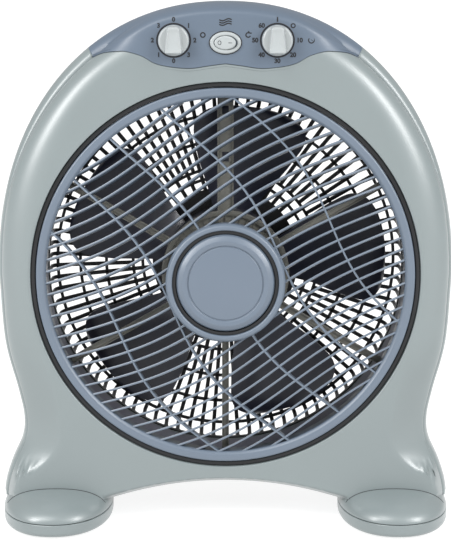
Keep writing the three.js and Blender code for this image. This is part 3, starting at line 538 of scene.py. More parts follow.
def ring_row(turns, radii, y):
    points = on_rays(turns, radii)
    return np.column_stack([points[:, 0], np.broadcast_to(y, len(turns)), points[:, 1]])


# ------------------------------------------------------------ housing shells
def front_shell():
    """Front shell with the thin lip round its opening."""
    outline = outer_radius(COLUMNS, bead_share=1)
    outer = np.where(IN_PANEL, np.minimum(outline, panel_radius(COLUMNS) - SEAM), outline)
    at_opening = front_y(on_rays(COLUMNS, np.full(len(COLUMNS), OPENING_R + 4)))
    ones = np.ones(len(COLUMNS))
    lip = [(0, 15), (0, 1.0), (0.2, 0.4), (0.6, 0.1), (1.2, 0.0)]
    rows = [ring_row(COLUMNS, (OPENING_R + r) * ones, at_opening + y) for r, y in lip]
    rows += surface_rows(COLUMNS, (OPENING_R + 2.0) * ones, outer, 34)
    edge = ring_row(COLUMNS, outer - 0.2, rows[-1][:, 1] + 0.6)
    add("front_shell_skin", grid(rows + [edge]), "shell_plastic", "housing", ["front_shell"],
        thickness=SKIN, facing=(0, -1, 0), sharp=50)


def bead_rows(turns):
    """Rows over the bead, from the parting line to the panel's back line."""
    rows = []
    for t in np.linspace(0, 1, 9):
        y = PART_LINE + SEAM + (WIDEST - PART_LINE - SEAM) * (1 - math.cos(t * PI / 2))
        rows.append(ring_row(turns, outer_radius(turns, bead_share=1 - math.sin(t * PI / 2)), y))
    return rows


def rear_shell():
    """Rear shell: bead, side wall, rounded rear edge, flat back and the mouth's rim."""
    bead = bead_rows(COLUMNS)
    tucked = ring_row(COLUMNS, outer_radius(COLUMNS, bead_share=1) - 1.5, PART_LINE + SEAM)
    rows = [tucked] + bead
    bead_count = len(rows)
    rows.append(ring_row(COLUMNS, outer_radius(COLUMNS), PANEL_BACK + SEAM))
    rows.append(ring_row(COLUMNS, outer_radius(COLUMNS), REAR - REAR_ROUND))
    for t in np.linspace(0.15, 1, 7):
        y = REAR - REAR_ROUND * (1 - math.sin(t * PI / 2))
        rows.append(ring_row(COLUMNS, outer_radius(COLUMNS, round_share=1 - math.cos(t * PI / 2)), y))
    outer = np.hypot(rows[-1][:, 0], rows[-1][:, 2] - AXIS_Z)
    for share in (0.25, 0.5, 0.75, 1.0):
        rows.append(ring_row(COLUMNS, outer + (DUCT_R_REAR + 6 - outer) * share, REAR))
    ones = np.ones(len(COLUMNS))
    rows += [ring_row(COLUMNS, (DUCT_R_REAR + r) * ones, REAR + y)
             for r, y in ((4.5, 0.6), (1.5, 0.6), (0.3, 0.2), (0, -1.0), (0, -3.0))]

    def keep(r, c):
        return r >= bead_count or not (IN_PANEL[c] and IN_PANEL[(c + 1) % len(COLUMNS)])
    return add("rear_shell_skin", grid(rows, keep=keep), "shell_plastic", "housing", ["rear_shell"],
               thickness=SKIN, sharp=50)


def grip_recess(skin):
    """Marks out the grip's mouth on the back, with a raised rim and a rounded pocket behind it."""
    half, top, height, depth = 55.0, HEIGHT - 26, 24.0, 18.0
    bottom, middle = top - height, top - height / 2
    outline = fillet([(-half, bottom), (half, bottom), (half, top), (-half, top)], 9, steps=8)

    def ring(grow, y):
        return [(x + math.copysign(grow, x), y, z + math.copysign(grow, z - middle)) for x, z in outline]
    tool_points, tool_faces = capped([ring(0, REAR - 5), ring(0, REAR + 5)])
    mesh = bpy.data.meshes.new("grip_tool")
    mesh.from_pydata([tuple(p) for p in tool_points * MM], [], tool_faces)
    tool = bpy.data.objects.new("grip_tool", mesh)
    bpy.context.scene.collection.objects.link(tool)
    cutter = skin.modifiers.new("grip", "BOOLEAN")
    cutter.operation = "DIFFERENCE"
    cutter.solver = "EXACT"
    cutter.object = tool
    bpy.context.view_layer.update()
    graph = bpy.context.evaluated_depsgraph_get()
    baked = bpy.data.meshes.new_from_object(skin.evaluated_get(graph))
    skin.modifiers.clear()
    skin.data = baked
    bpy.data.objects.remove(tool)
    rows = [ring(2.6, REAR + 0.1), ring(2.4, REAR + 0.9), ring(0.6, REAR + 1.0), ring(-0.3, REAR + 0.2),
            ring(-0.8, REAR - depth + 4), ring(-2.0, REAR - depth + 1), ring(-5.0, REAR - depth)]
    points, faces = grid(rows)
    faces.append([(len(rows) - 1) * len(outline) + i for i in range(len(outline))])
    add("grip_liner", (points, faces), "shell_plastic", "housing", thickness=1.2, facing=(0, 1, 0), sharp=50)


def control_panel():
    """Control panel: its wavy lower edge, the front of the crown and the band rolled over the top."""
    turns = COLUMNS[IN_PANEL]
    outer = outer_radius(turns, bead_share=1)
    inner = np.minimum(panel_radius(turns) + SEAM, outer - 0.05)
    beaded = np.array(surface_rows(turns, inner, outer, 20) + bead_rows(turns)[1:])
    flat_rows = 12
    face_edge = np.maximum(outer_radius(turns, round_share=PANEL_ROLL / REAR_ROUND), inner + 0.5)
    plain = [ring_row(turns, inner + (face_edge - inner) * t, FRONT) for t in np.linspace(0, 1, flat_rows)]
    for t in np.linspace(0, 1, len(beaded) - flat_rows + 1)[1:] * PI / 2:
        reach = outer_radius(turns, round_share=PANEL_ROLL / REAR_ROUND * (1 - math.sin(t)))
        y = FRONT + (WIDEST - FRONT) * (1 - math.cos(t))
        plain.append(ring_row(turns, np.maximum(reach, face_edge), y))
    rows = list(beaded + (np.array(plain) - beaded) * panel_share(turns)[:, None])
    lead = [np.column_stack([rows[0][:, 0], rows[0][:, 1] + 1.5, rows[0][:, 2]])]
    back = [ring_row(turns, outer_radius(turns), PANEL_BACK)]
    add("control_panel_skin", grid(lead + rows + back, wrap_columns=False), "panel_plastic", "housing",
        ["control_panel"], thickness=2.0, facing=(0, -1, 0.3), sharp=50)


def air_duct():
    low, high = box_mm("air_duct")
    # Uses the duct look: the shell's plastic in its painted shaded tint.
    turned("air_duct_fine", [
        (DUCT_R_FRONT, low[1]), (DUCT_R_FRONT + WALL, low[1]),
        (DUCT_R_REAR + WALL, high[1]), (DUCT_R_REAR, high[1]),
    ], "duct_plastic", "housing", ["air_duct"], sides=200, radius=1.0)


def track_ring():
    inner, outer = LOUVER_R + 0.9, OPENING_R - 0.4
    front, back = FRONT + 3, box_mm("louver_track_ring")[1][1]
    turned("louver_track_ring_fine", [(inner, front), (outer, front), (outer, back), (inner, back)],
           "black_plastic", "housing", ["louver_track_ring"], sides=200)


# ------------------------------------------------------------ louver
def dome_y(radius):
    inner, outer = HUB_R, LOUVER_R - LOUVER_RIM
    t = np.clip((radius - inner) / (outer - inner), 0, 1)
    return LOUVER_FRONT + 3 - LOUVER_RISE * (1 - t ** 1.7)


def louver_runs(curve, reach):
    """Parts of a curve in the tilted louver frame that lie between the hub ring and the rim."""
    s = np.linspace(-reach, reach, 700)
    u, v = curve(s)
    radius = np.hypot(u, v)
    inside = (radius > HUB_R - 2) & (radius < LOUVER_R - LOUVER_RIM + 2)
    runs, start = [], None
    for i, on in enumerate(list(inside) + [False]):
        if on and start is None:
            start = i
        if not on and start is not None:
            if i - start > 8:
                pick = np.linspace(start, i - 1, 26)
                index = np.arange(len(s))
                runs.append(np.column_stack([np.interp(pick, index, u), np.interp(pick, index, v)]))
            start = None
    return runs


def louver_strip(run, width, depth, lean):
    """A flat blade on edge along a run; its front edge leans upwards."""
    along = np.gradient(run, axis=0)
    along /= np.linalg.norm(along, axis=1)[:, None]
    cos, sin = math.cos(LOUVER_TILT), math.sin(LOUVER_TILT)
    front = dome_y(np.hypot(run[:, 0], run[:, 1]))
    path, side, out = [], [], []
    for (u, v), (du, dv), y in zip(run, along, front):
        path.append((u * cos - v * sin, y, AXIS_Z + u * sin + v * cos))
        across = np.array([-dv * cos - du * sin, 0, -dv * sin + du * cos])
        side.append(across * math.cos(lean) + np.array([0, math.sin(lean), 0]))
        out.append(np.array([0, math.cos(lean), 0]) - across * math.sin(lean))
    return sweep(path, side, out, rounded_bar(width, 0, depth))


def slat_curve(k):
    return lambda u: (u, SLAT_PITCH * k + SLAT_WAVE * np.sin(2 * PI * u / SLAT_WAVE_LENGTH))


def rib_curve(k):
    def curve(v):
        return RIB_PITCH * k + RIB_WAVE * np.sin(2 * PI * v / RIB_WAVE_LENGTH) - RIB_LEAN * v, v
    return curve


def louver():
    inner = LOUVER_R - LOUVER_RIM
    rim = lathe(fillet([
        (inner, LOUVER_FRONT + 2.4), (inner + 2.6, LOUVER_FRONT), (LOUVER_R - 1.2, LOUVER_FRONT),
        (LOUVER_R, LOUVER_FRONT + 1.4), (LOUVER_R, LOUVER_FRONT + LOUVER_DEPTH),
        (inner, LOUVER_FRONT + LOUVER_DEPTH),
    ], 1.0), 240)
    hub_in = HUB_R - HUB_WALL
    hub_back = HUB_FRONT + 15
    hub = lathe(fillet([
        (4, hub_back - 3), (hub_in, hub_back - 3), (hub_in, HUB_FRONT + 1.0), (hub_in + 1.4, HUB_FRONT),
        (HUB_R - 2.0, HUB_FRONT + 0.4), (HUB_R, HUB_FRONT + 3.5), (HUB_R, hub_back), (4, hub_back),
    ], 1.2), 160)
    parts = [rim, hub]
    reach = LOUVER_R - 3
    for k in range(-SLAT_ROWS, SLAT_ROWS + 1):
        for run in louver_runs(slat_curve(k), reach):
            parts.append(louver_strip(run, SLAT_WIDTH, SLAT_DEPTH, SLAT_LEAN))
    for k in range(-RIB_ROWS, RIB_ROWS + 1):
        for run in louver_runs(rib_curve(k), reach):
            parts.append(louver_strip(run, RIB_WIDTH, RIB_DEPTH, 0.0))
    add("louver_grille_fine", bundle(parts), "louver_plastic", "louver", ["louver_grille"])
    # Black ring set deep in the groove between the cap and the hub ring: painted shade, darkening the groove as
    # its shadow would.
    inner, outer, front, back = CAP_R + 0.5, hub_in - 0.1, HUB_FRONT + 3.2, HUB_FRONT + 9
    turned("louver_hub_groove_shade", [(inner, front), (outer, front), (outer, back), (inner, back)],
           "black_plastic", "louver", radius=0.4)
    front, back = (corner[1] for corner in box_mm("louver_cap"))
    turned("louver_cap_fine", [
        (0, front + 0.7), (CAP_STEP_R - 0.9, front + 1.1), (CAP_STEP_R - 0.4, front + 1.9),
        (CAP_STEP_R + 0.4, front + 1.9), (CAP_STEP_R + 0.9, front + 0.7), (CAP_R - 6.5, front),
        (CAP_R - 1.6, front + 2.6), (CAP_R, front + 6), (CAP_R, back), (0, back),
    ], "louver_plastic", "louver", ["louver_cap"], radius=0.7)


# ------------------------------------------------------------ rear grille
def bar_path(turn, inner):
    """A bar from the inner ring out over the rounded edge of the basket and forwards along its wall."""
    corner = 8.0
    wall = GUARD_R - 1.5
    flat = [(r, GUARD_MIDDLE) for r in np.linspace(inner, wall - corner, 5)]
    bend = [(wall - corner + corner * math.sin(a), GUARD_MIDDLE - corner + corner * math.cos(a))
            for a in np.linspace(0, PI / 2, 6)[1:]]
    slot_end = REAR + 6.0
    profile = flat + bend + [(wall, y) for y in (56, slot_end + 6)]
    widths = [1.0] * len(profile)
    for a in np.linspace(0.25, 1, 5) * PI / 2:
        profile.append((wall, slot_end + 6 * (1 - math.sin(a))))
        widths.append(1.0 + 2.0 * (1 - math.cos(a)))
    radial, across = spoke(turn)
    path = [radial * r + np.array([0, y, AXIS_Z]) for r, y in profile]
    out = []
    for i in range(len(path)):
        along = path[min(i + 1, len(path) - 1)] - path[max(i - 1, 0)]
        out.append(np.cross(across, along / np.linalg.norm(along)))
    return path, [across * width for width in widths], out


def rear_grille():
    back = GUARD_MIDDLE
    parts = []
    for k in range(GUARD_BARS):
        turn = PI / 2 + k * 2 * PI / GUARD_BARS
        parts.append(sweep(*bar_path(turn, GUARD_RINGS[2]), rounded_bar(GUARD_BAR, -1.3, 1.3)))
    for k in range(GUARD_BARS // 2):
        turn = PI / 2 + k * 4 * PI / GUARD_BARS
        radial, across = spoke(turn)
        path = [radial * r + np.array([0, back, AXIS_Z]) for r in (GUARD_RINGS[0] - 1, GUARD_RINGS[2] + 1)]
        parts.append(sweep(path, across, BACKWARDS, rounded_bar(GUARD_BAR, -1.2, 1.2)))
    for radius in GUARD_RINGS[1:]:
        section = [(radius - GUARD_RING, back - 1.3), (radius + GUARD_RING, back - 1.3),
                   (radius + GUARD_RING, back + 1.2), (radius - GUARD_RING, back + 1.2)]
        parts.append(lathe(fillet(section, 0.5), 180))
    centre = [(0, back - 1.2), (GUARD_RINGS[0], back - 1.2), (GUARD_RINGS[0], back + 1.2),
              (58, back + 1.2), (55, back + 0.2), (24, back + 0.2), (21, back + 1.2), (0, back + 1.2)]
    parts.append(lathe(fillet(centre, 0.6, closed=False), 120, closed=False))
    flange_r = GUARD_HIGH[0]
    low = REAR + 0.3
    parts.append(lathe(fillet([
        (GUARD_R - 2.8, low), (flange_r, low), (flange_r, low + 2.4), (GUARD_R + 0.3, low + 3.2),
        (GUARD_R - 0.2, low + 7), (GUARD_R - 2.8, low + 7),
    ], 0.8), 200))
    add("rear_grille_fine", bundle(parts), "guard_plastic", "housing", ["rear_grille"])


# ------------------------------------------------------------ impeller
def blade(phase):
    """Middle surface of one paddle: rounded corners, pitched from its front edge to its rear edge."""
    middle = (FAN_LOW[1] + FAN_HIGH[1]) / 2
    root, tip = FAN_HUB_R - 2.5, BLADE_TIP_R
    rows = []
    for t in np.linspace(0, 1, 22):
        radius = root + (tip - root) * math.sin(t * PI / 2) ** 0.9
        reach = (radius - root) / (tip - root)
        corner = max(0.0, (reach - 0.7) / 0.3)
        half = BLADE_SWEEP / 2 * (0.84 + 0.16 * smoothstep(reach, 0, 0.6))
        half *= (1 - corner ** 3.2) ** 0.42 * 0.62 + 0.38 if corner < 1 else 0.38
        row = []
        for s in np.linspace(-1, 1, 19):
            rise = -10.5 * s - 2.2 * (1 - s * s) + 1.6 * reach
            turn = phase + s * half - 0.05 * reach
            row.append((radius * math.cos(turn), middle + rise, AXIS_Z + radius * math.sin(turn)))
        rows.append(row)
    return rows


def blade_solid(phase):
    """A blade's middle surface doubled to its thickness and closed round its edge."""
    rows = np.array(blade(phase))
    half_thick = BACKWARDS * 1.1
    points, faces = grid(rows - half_thick, wrap_columns=False)
    count, width = rows.shape[:2]
    faces = [face[::-1] for face in faces]
    total = count * width
    faces += [[i + total for i in face[::-1]] for face in faces]
    rim = ([c for c in range(width)] + [r * width + width - 1 for r in range(1, count)]
           + [(count - 1) * width + c for c in range(width - 2, -1, -1)]
           + [r * width for r in range(count - 2, 0, -1)])
    for i, a in enumerate(rim):
        b = rim[(i + 1) % len(rim)]
        faces.append([a, b, b + total, a + total])
    return np.vstack([points, (rows + half_thick).reshape(-1, 3)]), faces


def impeller():
    parts = [blade_solid(BLADE_PHASE + k * 2 * PI / BLADES) for k in range(BLADES)]
    front, back = FAN_LOW[1], FAN_HIGH[1]
    inside = FAN_HUB_R - 3
    parts.append(lathe(fillet([
        (BORE_R, back - 14), (10.5, back - 14), (10.5, back - 3), (inside, back - 3),
        (inside, front + 1), (FAN_HUB_R, front + 1), (FAN_HUB_R, back - 1), (FAN_HUB_R - 1.5, back),
        (16, back), (16, back - 0.8), (BORE_R, back - 0.8),
    ], 1.0), 120))
    add("impeller_fine", bundle(parts), "blade_plastic", "fan", ["impeller"], sharp=45)


def spinner_nut():
    """Domed nut with twelve grip ribs."""
    low, high = box_mm("spinner_nut")
    grips = []
    for k in range(12):
        turn = k * PI / 6
        radial, across = spoke(turn)
        path = [radial * 14.6 + np.array([0, y, AXIS_Z]) for y in (low[1] + 0.6, low[1] + 4.8)]
        grips.append(sweep(path, across, radial, rounded_bar(1.6, -0.5, 0.4)))
    dome = lathe(fillet([
        (BORE_R, low[1]), (14.7, low[1]), (14.7, low[1] + 5), (9, high[1] - 1), (0.01, high[1]),
        (0.01, high[1] - 3), (BORE_R, high[1] - 5),
    ], 1.5), 80)
    add("spinner_nut_fine", bundle(grips + [dome]), "blade_plastic", "fan", ["spinner_nut"])


# ------------------------------------------------------------ motor bridge
def motor_bridge():
    """Plate, six arms with raised edges, and two windows in the broad top arm."""
    low, high = box_mm("motor_bridge")
    y0, y1 = low[1], high[1]
    parts = [
        lathe(fillet([(8, y0), (60, y0), (60, y1), (8, y1)], 0.6), 120),
        lathe(fillet([(58.5, y0 - 2), (64, y0 - 2), (64, y1), (58.5, y1)], 0.8), 120),
        lathe(fillet([(45.6, y0 - 1.2), (47.4, y0 - 1.2), (47.4, y0 + 0.5), (45.6, y0 + 0.5)], 0.4), 120),
    ]
    for k in range(48):
        turn = k * PI / 24
        radial, across = spoke(turn)
        path = [radial * r + np.array([0, 0, AXIS_Z]) for r in (48, 59)]
        parts.append(sweep(path, across, BACKWARDS, rounded_bar(1.1, y0 - 1.4, y0 + 0.3)))
    reach = DUCT_R_FRONT - 1.2
    plate = y0 + 0.4
    for k in range(6):
        turn = PI / 2 + k * PI / 3
        radial, across = spoke(turn)
        half = 8.0 if k == 0 else 3.5

        def bar(r0, r1, offset, width, top, bottom):
            path = [radial * r + across * offset + np.array([0, 0, AXIS_Z]) for r in (r0, r1)]
            return sweep(path, across, BACKWARDS, rounded_bar(width, top, bottom))
        for side in (-1, 1):
            parts.append(bar(60, reach, side * (half - 0.6), 1.2, y0 - 1.6, y1))
        if k:
            parts.append(bar(60, reach, 0, 2 * half - 1.4, plate, y1))
            continue
        edges = [62, 112.6, 122.6, 160.0, 168.5, reach]
        for r0, r1 in zip(edges[::2], edges[1::2]):
            parts.append(bar(r0, r1, 0, 2 * half - 1.4, plate, y1))
        for r0, r1 in ((edges[1], edges[2]), (edges[3], edges[4])):
            for side in (-1, 1):
                parts.append(bar(r0 - 1, r1 + 1, side * 5.4, 4.2, plate, y1))
    add("motor_bridge_fine", bundle(parts), "bridge_plastic", "housing", ["motor_bridge"])


# ------------------------------------------------------------ motor, spindles and small round pieces
def round_box(node):
    """Corners, middle and radius of a round piece's CAD solid."""
    low, high = box_mm(node)
    return low, high, (low + high) / 2, (high[0] - low[0]) / 2


# Plain turned pieces: node, bore, look, body and the rounding of their edges.
PLAIN_ROUND = [
    ("motor_stator", 25, "lamination", "housing", 0.3),
    ("motor_rotor", 4.3, "lamination", "fan", 0.3),
    ("winding_front", 27, "winding_copper", "housing", 2.0),
    ("winding_rear", 27, "winding_copper", "housing", 2.0),
    ("bush_front", 4.3, "bush_bronze", "housing", 0.5),
    ("bush_rear", 4.3, "bush_bronze", "housing", 0.5),
    ("louver_motor", 3.8, "steel", "housing", 1.5),
    ("louver_shaft", 0, "steel", "louver", 0.6),
    ("speed_spindle", 0, "steel", "speed_dial", 0.5),
    ("timer_spindle", 0, "steel", "timer_dial", 0.5),
]


def plain_round_pieces():
    for node, bore, look, body, edge in PLAIN_ROUND:
        low, high, middle, radius = round_box(node)
        profile = [(bore, low[1]), (radius, low[1]), (radius, high[1]), (bore, high[1])]
        turned(node + "_fine", profile, look, body, [node], radius=edge, sides=72, x=middle[0], z=middle[2])


def motor_cups():
    """Pressed end cups with a stepped face."""
    for node, sign in (("motor_front_cup", 1), ("motor_rear_cup", -1)):
        shut, open_end = (corner[1] for corner in box_mm(node)[::sign])
        wall = 2 * sign
        turned(node + "_fine", [
            (8.3, shut), (22, shut), (24, shut + wall * 0.4), (38, shut + wall * 0.4),
            (44, shut + wall * 1.5), (44, open_end), (42, open_end), (42, shut + wall * 1.7),
            (37, shut + wall * 1.3), (8.3, shut + wall),
        ], "steel", "housing", [node], radius=1.2, sides=96)


def cord_gland():
    """Flanged gland with a ribbed strain relief."""
    low, high, middle, flange = round_box("cord_gland")
    gland = [(2.6, low[1]), (5, low[1]), (5, REAR + 0.3), (flange, REAR + 0.3), (flange, REAR + 2.5),
             (5.2, REAR + 3.2)]
    for i in range(4):
        y = REAR + 4 + i * 1.9
        rib, groove = 5.0 - i * 0.25, 4.1 - i * 0.2
        gland += [(rib, y), (rib, y + 1.0), (groove, y + 1.2), (groove, y + 1.8)]
    gland += [(3.8, high[1]), (2.6, high[1])]
    turned("cord_gland_fine", gland, "black_plastic", "housing", ["cord_gland"], radius=0.3, sides=48,
           x=middle[0], z=middle[2])


def screw(node):
    """A pan head with a cross standing in its hollow."""
    low, high, middle, radius = round_box(node)
    head = lathe(fillet([
        (0, low[1]), (1.6, low[1]), (1.6, REAR + 0.3), (radius, REAR + 0.3), (radius, high[1] - 1.0),
        (radius - 1.2, high[1]), (1.9, high[1]), (1.6, high[1] - 0.9), (0, high[1] - 1.2),
    ], 0.5, closed=False), 40, middle[0], middle[2], closed=False)
    parts = [head]
    for turn in (PI / 4, 3 * PI / 4):
        along, across = spoke(turn)
        path = [np.array([middle[0], high[1] - 1.0, middle[2]]) + along * s for s in (-1.5, 1.5)]
        parts.append(sweep(path, across, BACKWARDS, rounded_bar(0.6, -0.4, 0.35)))
    add(node + "_fine", bundle(parts), "steel", "housing", [node])


def pad(node):
    """A rubber pad with a ringed sole."""
    (x, y, _), radius = round_box(node)[2:]
    profile = fillet([
        (0, 0.5), (3, 0.5), (3.4, 0), (radius - 2.4, 0), (radius - 2, 0.5), (radius - 1.4, 0.5),
        (radius - 1, 0), (radius, 0.4), (radius, PAD_HEIGHT), (0, PAD_HEIGHT),
    ], 0.3, closed=False)
    rows = [[(x + r * math.cos(a), y + r * math.sin(a), z) for a in around(48)] for r, z in profile]
    add(node + "_fine", grid(rows), "pad_rubber", "housing", [node])


# ------------------------------------------------------------ shoes
def shoe_ring(side, scale, inset, z):
    """One level of a shoe, a full oval."""
    turn = around(96)
    c, s = np.cos(turn), np.sin(turn)
    x = np.sign(c) * np.abs(c) ** (2 / SHOE_POWER) * (SHOE_HALF[0] - inset) * scale
    y = np.sign(s) * np.abs(s) ** (2 / SHOE_POWER) * (SHOE_HALF[1] - inset) * scale
    return np.column_stack([side * SHOE_X + x, y, np.full(len(turn), z)])


def dome_z(turn):
    """Height of a shoe's dome as it runs from its edge, 0, to its top, a quarter turn."""
    return SHOE_SEAM_Z + (SHOE_TOP_Z - SHOE_SEAM_Z) * np.sin(turn) ** 1.05


def shoe(name, side):
    """Base band and domed upper of one shoe, with a fine seam between them."""
    foot = PAD_HEIGHT + SEAM
    seam_low, seam_high = SHOE_SEAM_Z - SEAM, SHOE_SEAM_Z + SEAM
    base = [shoe_ring(side, 0.02, 5, foot), shoe_ring(side, 0.97, 5, foot)]
    for t in np.linspace(0, 1, 8):
        turn = t * PI / 2
        base.append(shoe_ring(side, 1, 5 * (1 - math.sin(turn)) ** 1.2, foot + 5.5 * (1 - math.cos(turn))))
    base += [shoe_ring(side, 1, inset, z) for inset, z in (
        (0.0, 12), (0.0, SHOE_SEAM_Z - 0.9), (0.5, SHOE_SEAM_Z - 0.35), (2.0, seam_low), (20.0, seam_low))]
    base.append(shoe_ring(side, 0.02, 20, seam_low))
    add(f"shoe_base_{name}_fine", capped(base), "shell_plastic", "housing", [f"shoe_base_{name}"])

    upper = [shoe_ring(side, 0.02, 20, seam_high), shoe_ring(side, 1, 2, seam_high),
             shoe_ring(side, 1, 0.6, SHOE_SEAM_Z + 0.35), shoe_ring(side, 1, 0.1, SHOE_SEAM_Z + 0.9)]
    for turn in np.linspace(0.04, 0.998, 26) * PI / 2:
        scale = max(math.cos(turn) ** DOME_POWER, 0.02)
        upper.append(shoe_ring(side, scale, 0, max(dome_z(turn), SHOE_SEAM_Z + 1.0)))
    add(f"shoe_{name}_fine", capped(upper), "shell_plastic", "housing", [f"shoe_{name}"])


def ankle_shade_line(name, side):
    """A fine dark strip of painted shade where a leg enters its shoe, standing for the shadow in the seam."""
    across = np.linspace(-0.93, 0.93, 60)
    deep = abs(FRONT) / SHOE_HALF[1]
    plan = (np.abs(across) ** SHOE_POWER + deep ** SHOE_POWER) ** (1 / SHOE_POWER)
    keep = plan < 0.985
    height = dome_z(np.arccos(plan[keep] ** (1 / DOME_POWER)))
    x = side * SHOE_X + across[keep] * SHOE_HALF[0]
    path = np.column_stack([x, np.full(len(x), FRONT - 0.1), height])
    line = sweep(path, (0, 0, 1), BACKWARDS, rounded_bar(0.7, -0.35, 0.4))
    add(f"ankle_shade_line_{name}", line, "mark", "housing")


# ------------------------------------------------------------ controls
def knob(name, x, body):
    """Disc with a tapered grip across it, ringed on the panel by a dark strip of painted shade."""
    front, back = (corner[1] for corner in box_mm(name))
    disc_front = back - KNOB_DISC
    disc = lathe(fillet([
        (0, disc_front), (KNOB_R - 1.6, disc_front), (KNOB_R - 0.2, disc_front + 1.4),
        (KNOB_R, disc_front + 3), (KNOB_R, back), (0, back),
    ], 0.7, closed=False), 80, x, KNOB_Z, closed=False)
    top, bottom = KNOB_Z + KNOB_R * 0.9, KNOB_Z - KNOB_R * 0.86
    shape = [(x - 5.6, top), (x + 5.6, top), (x + 8.8, bottom), (x - 8.8, bottom)]
    outline = fillet(shape, 2.4, steps=6)
    centre = np.array([x, KNOB_Z])
    rows = []
    for share, y in ((1.16, disc_front + 0.6), (1.08, disc_front - 0.8), (1.01, disc_front - 3.0),
                     (0.97, front + 1.2), (0.94, front + 0.35), (0.88, front), (0.8, front + 0.15),
                     (0.72, front + 0.7), (0.3, front + 1.2), (0.02, front + 1.3)):
        offsets = (np.array(outline) - centre) * share
        offsets *= np.minimum(1, (KNOB_R - 0.5) / np.linalg.norm(offsets, axis=1))[:, None]
        rows.append([(x + dx, y, KNOB_Z + dz) for dx, dz in offsets])
    add(name + "_fine", bundle([disc, capped(rows)]), "knob_plastic", body, [name])
    # Dark ring round the disc: painted shade of the gap between the knob and the panel.
    inner, outer = KNOB_R + 0.4, KNOB_R + 2.0
    low, high = FRONT - 0.2, FRONT + 0.6
    turned(name + "_painted_shade_ring", [(inner, low), (outer, low), (outer, high), (inner, high)],
           "mark", "housing", radius=0.3, sides=80, x=x, z=KNOB_Z)


def oval_rows(half, levels):
    """Rows of an oval at the rocker's place: levels of (inset, y)."""
    return [[((half[0] - inset) * math.cos(a), y, ROCKER_Z + (half[1] - inset) * math.sin(a))
             for a in around(72)] for inset, y in levels]


def on_rocker(x, y, z):
    """A point of the level rocker, tipped as the rocker lies at rest."""
    cos, sin = math.cos(ROCKER_TILT), math.sin(ROCKER_TILT)
    return x * cos + y * sin, FRONT - x * sin + y * cos, ROCKER_Z + z


def dish(x):
    """How far the rocker's face stands out at x."""
    return -1.5 * (x / ROCKER_HALF[0]) ** 2


def rocker_bezel():
    face = box_mm("rocker_bezel")[0][1]
    levels = [(0, FRONT - 0.1), (0.1, face + 0.9), (0.7, face + 0.2), (1.5, face), (3.0, face + 0.1),
              (3.7, face + 0.8), (3.95, face + 2.0), (3.95, FRONT + 12), (2.2, FRONT + 12),
              (2.2, FRONT - 0.1)]
    add("rocker_bezel_fine", grid(oval_rows(BEZEL_HALF, levels), wrap_rows=True), "knob_plastic", "housing",
        ["rocker_bezel"])
    # Dark oval round the bezel's edge: painted shade of the seam between the bezel and the panel.
    rim = [(-0.9, FRONT - 0.2), (0.3, FRONT - 0.2), (0.3, FRONT + 0.5), (-0.9, FRONT + 0.5)]
    add("rocker_bezel_shade_line", grid(oval_rows(BEZEL_HALF, rim), wrap_rows=True), "mark", "housing")


def rocker():
    """Dished rocker with a ring on its off side and a bar on its on side."""
    face = -2.3
    rows = []
    for scale, y, dished in ((0.02, face, 1), (0.4, face, 1), (0.75, -2.4, 1), (0.92, -2.2, 1),
                             (0.985, -1.7, 1), (1.0, -1.0, 0.6), (0.96, 1.0, 0), (0.84, 4.0, 0),
                             (0.02, 4.0, 0)):
        half_x, half_z = (half * scale for half in ROCKER_HALF)
        rows.append([on_rocker(half_x * math.cos(a), y + dished * dish(half_x * math.cos(a)),
                               half_z * math.sin(a)) for a in around(72)])
    add("louver_rocker_fine", capped(rows), "knob_plastic", "rocker", ["louver_rocker"])

    signs = {"off": [(-5.4 + 1.5 * math.cos(a), 1.9 * math.sin(a)) for a in np.linspace(0, 2 * PI, 24)],
             "on": [(x, 0) for x in (3.4, 4.6, 5.8, 7.0)]}
    for mark, spots in signs.items():
        path = [on_rocker(x, face + dish(x) - 0.12, z) for x, z in spots]
        side = np.cross(np.gradient(np.array(path), axis=0), BACKWARDS)
        side /= np.linalg.norm(side, axis=1)[:, None]
        line = sweep(path, side, BACKWARDS, rounded_bar(0.65, -0.05, 0.3))
        add(f"louver_rocker_{mark}_mark", line, "mark", "rocker")


# ------------------------------------------------------------ marks on the panel
def number(text, x, z):
    """A printed number, lying on the panel."""
    curve = bpy.data.curves.new("number", "FONT")
    curve.body = text
    curve.align_x, curve.align_y = "CENTER", "CENTER"
    curve.size = MARK_SIZE * MM
    curve.extrude = 0.00006
    curve.offset = 0.00026
    raised = bpy.data.objects.new("number", curve)
    bpy.context.scene.collection.objects.link(raised)
    bpy.context.view_layer.update()
    flat = bpy.data.meshes.new_from_object(raised.evaluated_get(bpy.context.evaluated_depsgraph_get()))
    bpy.data.objects.remove(raised)
    points = np.array([v.co for v in flat.vertices]) / MM
    faces = [list(polygon.vertices) for polygon in flat.polygons]
    spots = np.column_stack([points[:, 0] + x, points[:, 1] + z])
    placed = np.column_stack([spots[:, 0], panel_y(spots) - 0.1 - points[:, 2], spots[:, 1]])
    bpy.data.meshes.remove(flat)
    return placed, faces


